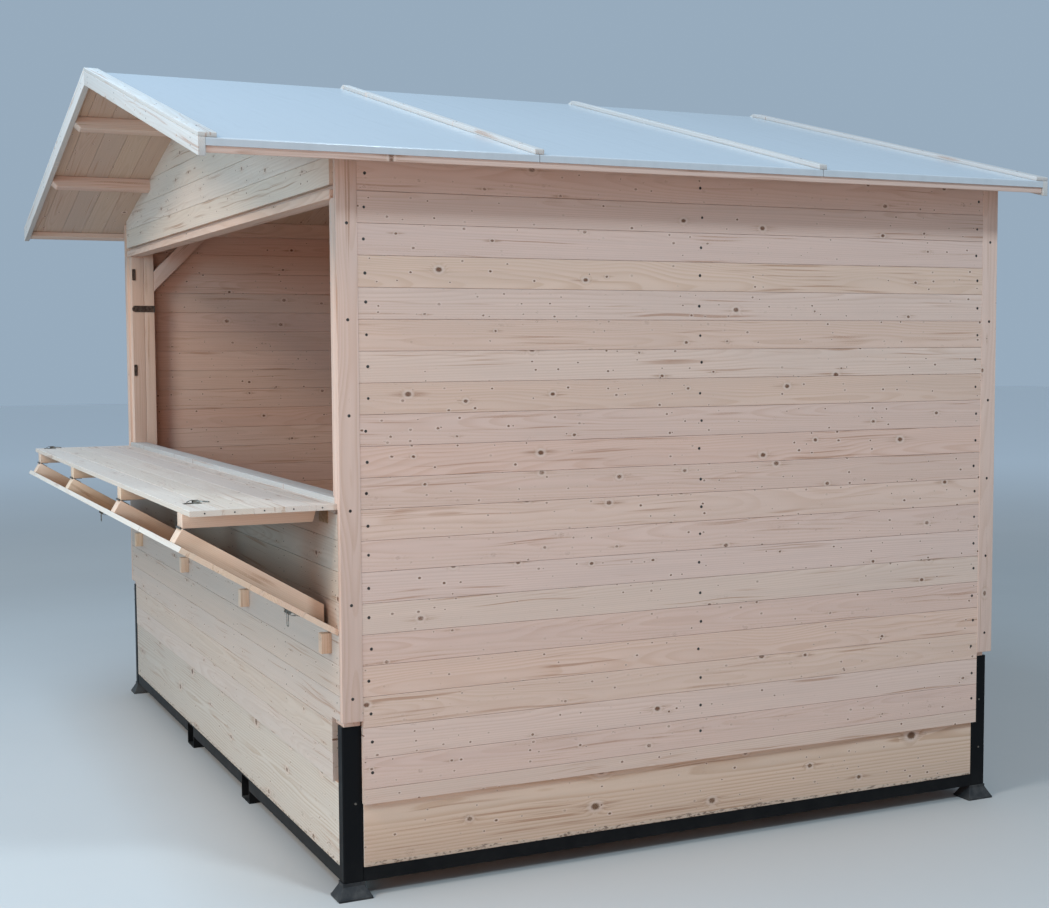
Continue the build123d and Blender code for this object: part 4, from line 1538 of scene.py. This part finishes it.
@dataclass(frozen=True)
class Studio:
    """Camera, soft boxes, sky and floor.

    The eye is where the camera stands, ahead and right are its directions, and its lens and sensor
    are in millimetres. The sky is the room's even light.
    """

    eye: tuple = (5.5844, -2.30809, 1.5534)
    ahead: tuple = (-0.90422328, 0.42154974, -0.06838189)
    right: tuple = (0.42286848, 0.90617494, -0.00540666)
    lens: float = 53.14
    sensor: float = 36.0
    floor_half: float = 40.0
    sky_colour: tuple = (0.61, 0.80, 1.0, 1)
    sky_strength: float = 0.51

    def build(self) -> None:
        """Sets up everything round the stall."""
        self.camera()
        self.sky()
        self.floor()
        for light in self.lights():
            light.build()

    def camera(self) -> None:
        """Places the camera as the photograph has it."""
        data = bpy.data.cameras.new("view")
        data.lens, data.sensor_width, data.clip_end = self.lens, self.sensor, 200.0
        right, ahead = Vector(self.right), Vector(self.ahead)
        turn = Matrix((right, right.cross(ahead), -ahead)).transposed().to_4x4()
        item = bpy.data.objects.new("view", data)
        item.matrix_world = Matrix.Translation(self.eye) @ turn
        bpy.context.scene.collection.objects.link(item)
        bpy.context.scene.camera = item

    def sky(self) -> None:
        """Gives the room its even light."""
        world = bpy.data.worlds.new("room")
        world.use_nodes = True
        back = world.node_tree.nodes["Background"]
        back.inputs["Color"].default_value = self.sky_colour
        back.inputs["Strength"].default_value = self.sky_strength
        bpy.context.scene.world = world
        bpy.context.scene.view_settings.view_transform = "Standard"

    def floor(self) -> None:
        """Lays the studio floor."""
        half = self.floor_half
        mesh = bpy.data.meshes.new("studio_floor")
        corners = [(x * half, y * half, 0) for x, y in ((-1, -1), (1, -1), (1, 1), (-1, 1))]
        mesh.from_pydata(corners, [], [(0, 1, 2, 3)])
        mesh.materials.append(StudioFloor("studio_floor").material())
        new_object("studio_floor", mesh)

    def lights(self) -> tuple:
        """Lists the soft boxes.

        Returns:
            The lights.
        """
        rows = (
            ("ceiling", (0.3, -3.2, 6.5), (0, -1.0, 0), 4.5, 4.0, 390.0, (0.42, 0.70, 1.0)),
            ("front_window", (2.6, -6.6, 5.8), (-0.5, -0.6, 1.0), 1.8, 1.8, 250.0, (0.95, 0.80, 0.66)),
            ("front_fill", (3.2, -7.5, 2.8), (0, -1.0, 1.8), 3.0, 2.0, 220.0, (0.42, 0.78, 1.0)),
            ("side_window", (7.2, 1.6, 7.0), (1.5, 0.2, 1.0), 1.2, 1.2, 320.0, (0.62, 0.83, 1.0)),
            ("low_fill", (6.0, -4.2, 1.4), (1.0, -1.0, 0.8), 2.0, 1.6, 45.0, (1.0, 0.55, 0.35)),
            ("inner_glow", (0.9, 0.5, 1.95), (-1.5, 0.3, 1.2), 0.8, 0.6, 1.5, (1.0, 0.40, 0.20)),
        )
        return tuple(SoftLight(*row) for row in rows)


def main() -> None:
    """Loads the frame, dresses the stall and sets up the studio."""
    logging.basicConfig(level=logging.INFO, format="%(message)s")
    for item in list(bpy.data.objects):
        bpy.data.objects.remove(item)
    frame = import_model()
    stall = Stall(frame["nodes"])
    stall.panels()
    stall.timbers()
    stall.metal()
    stall.fixings()
    Studio().build()


if __name__ == "__main__":
    main()
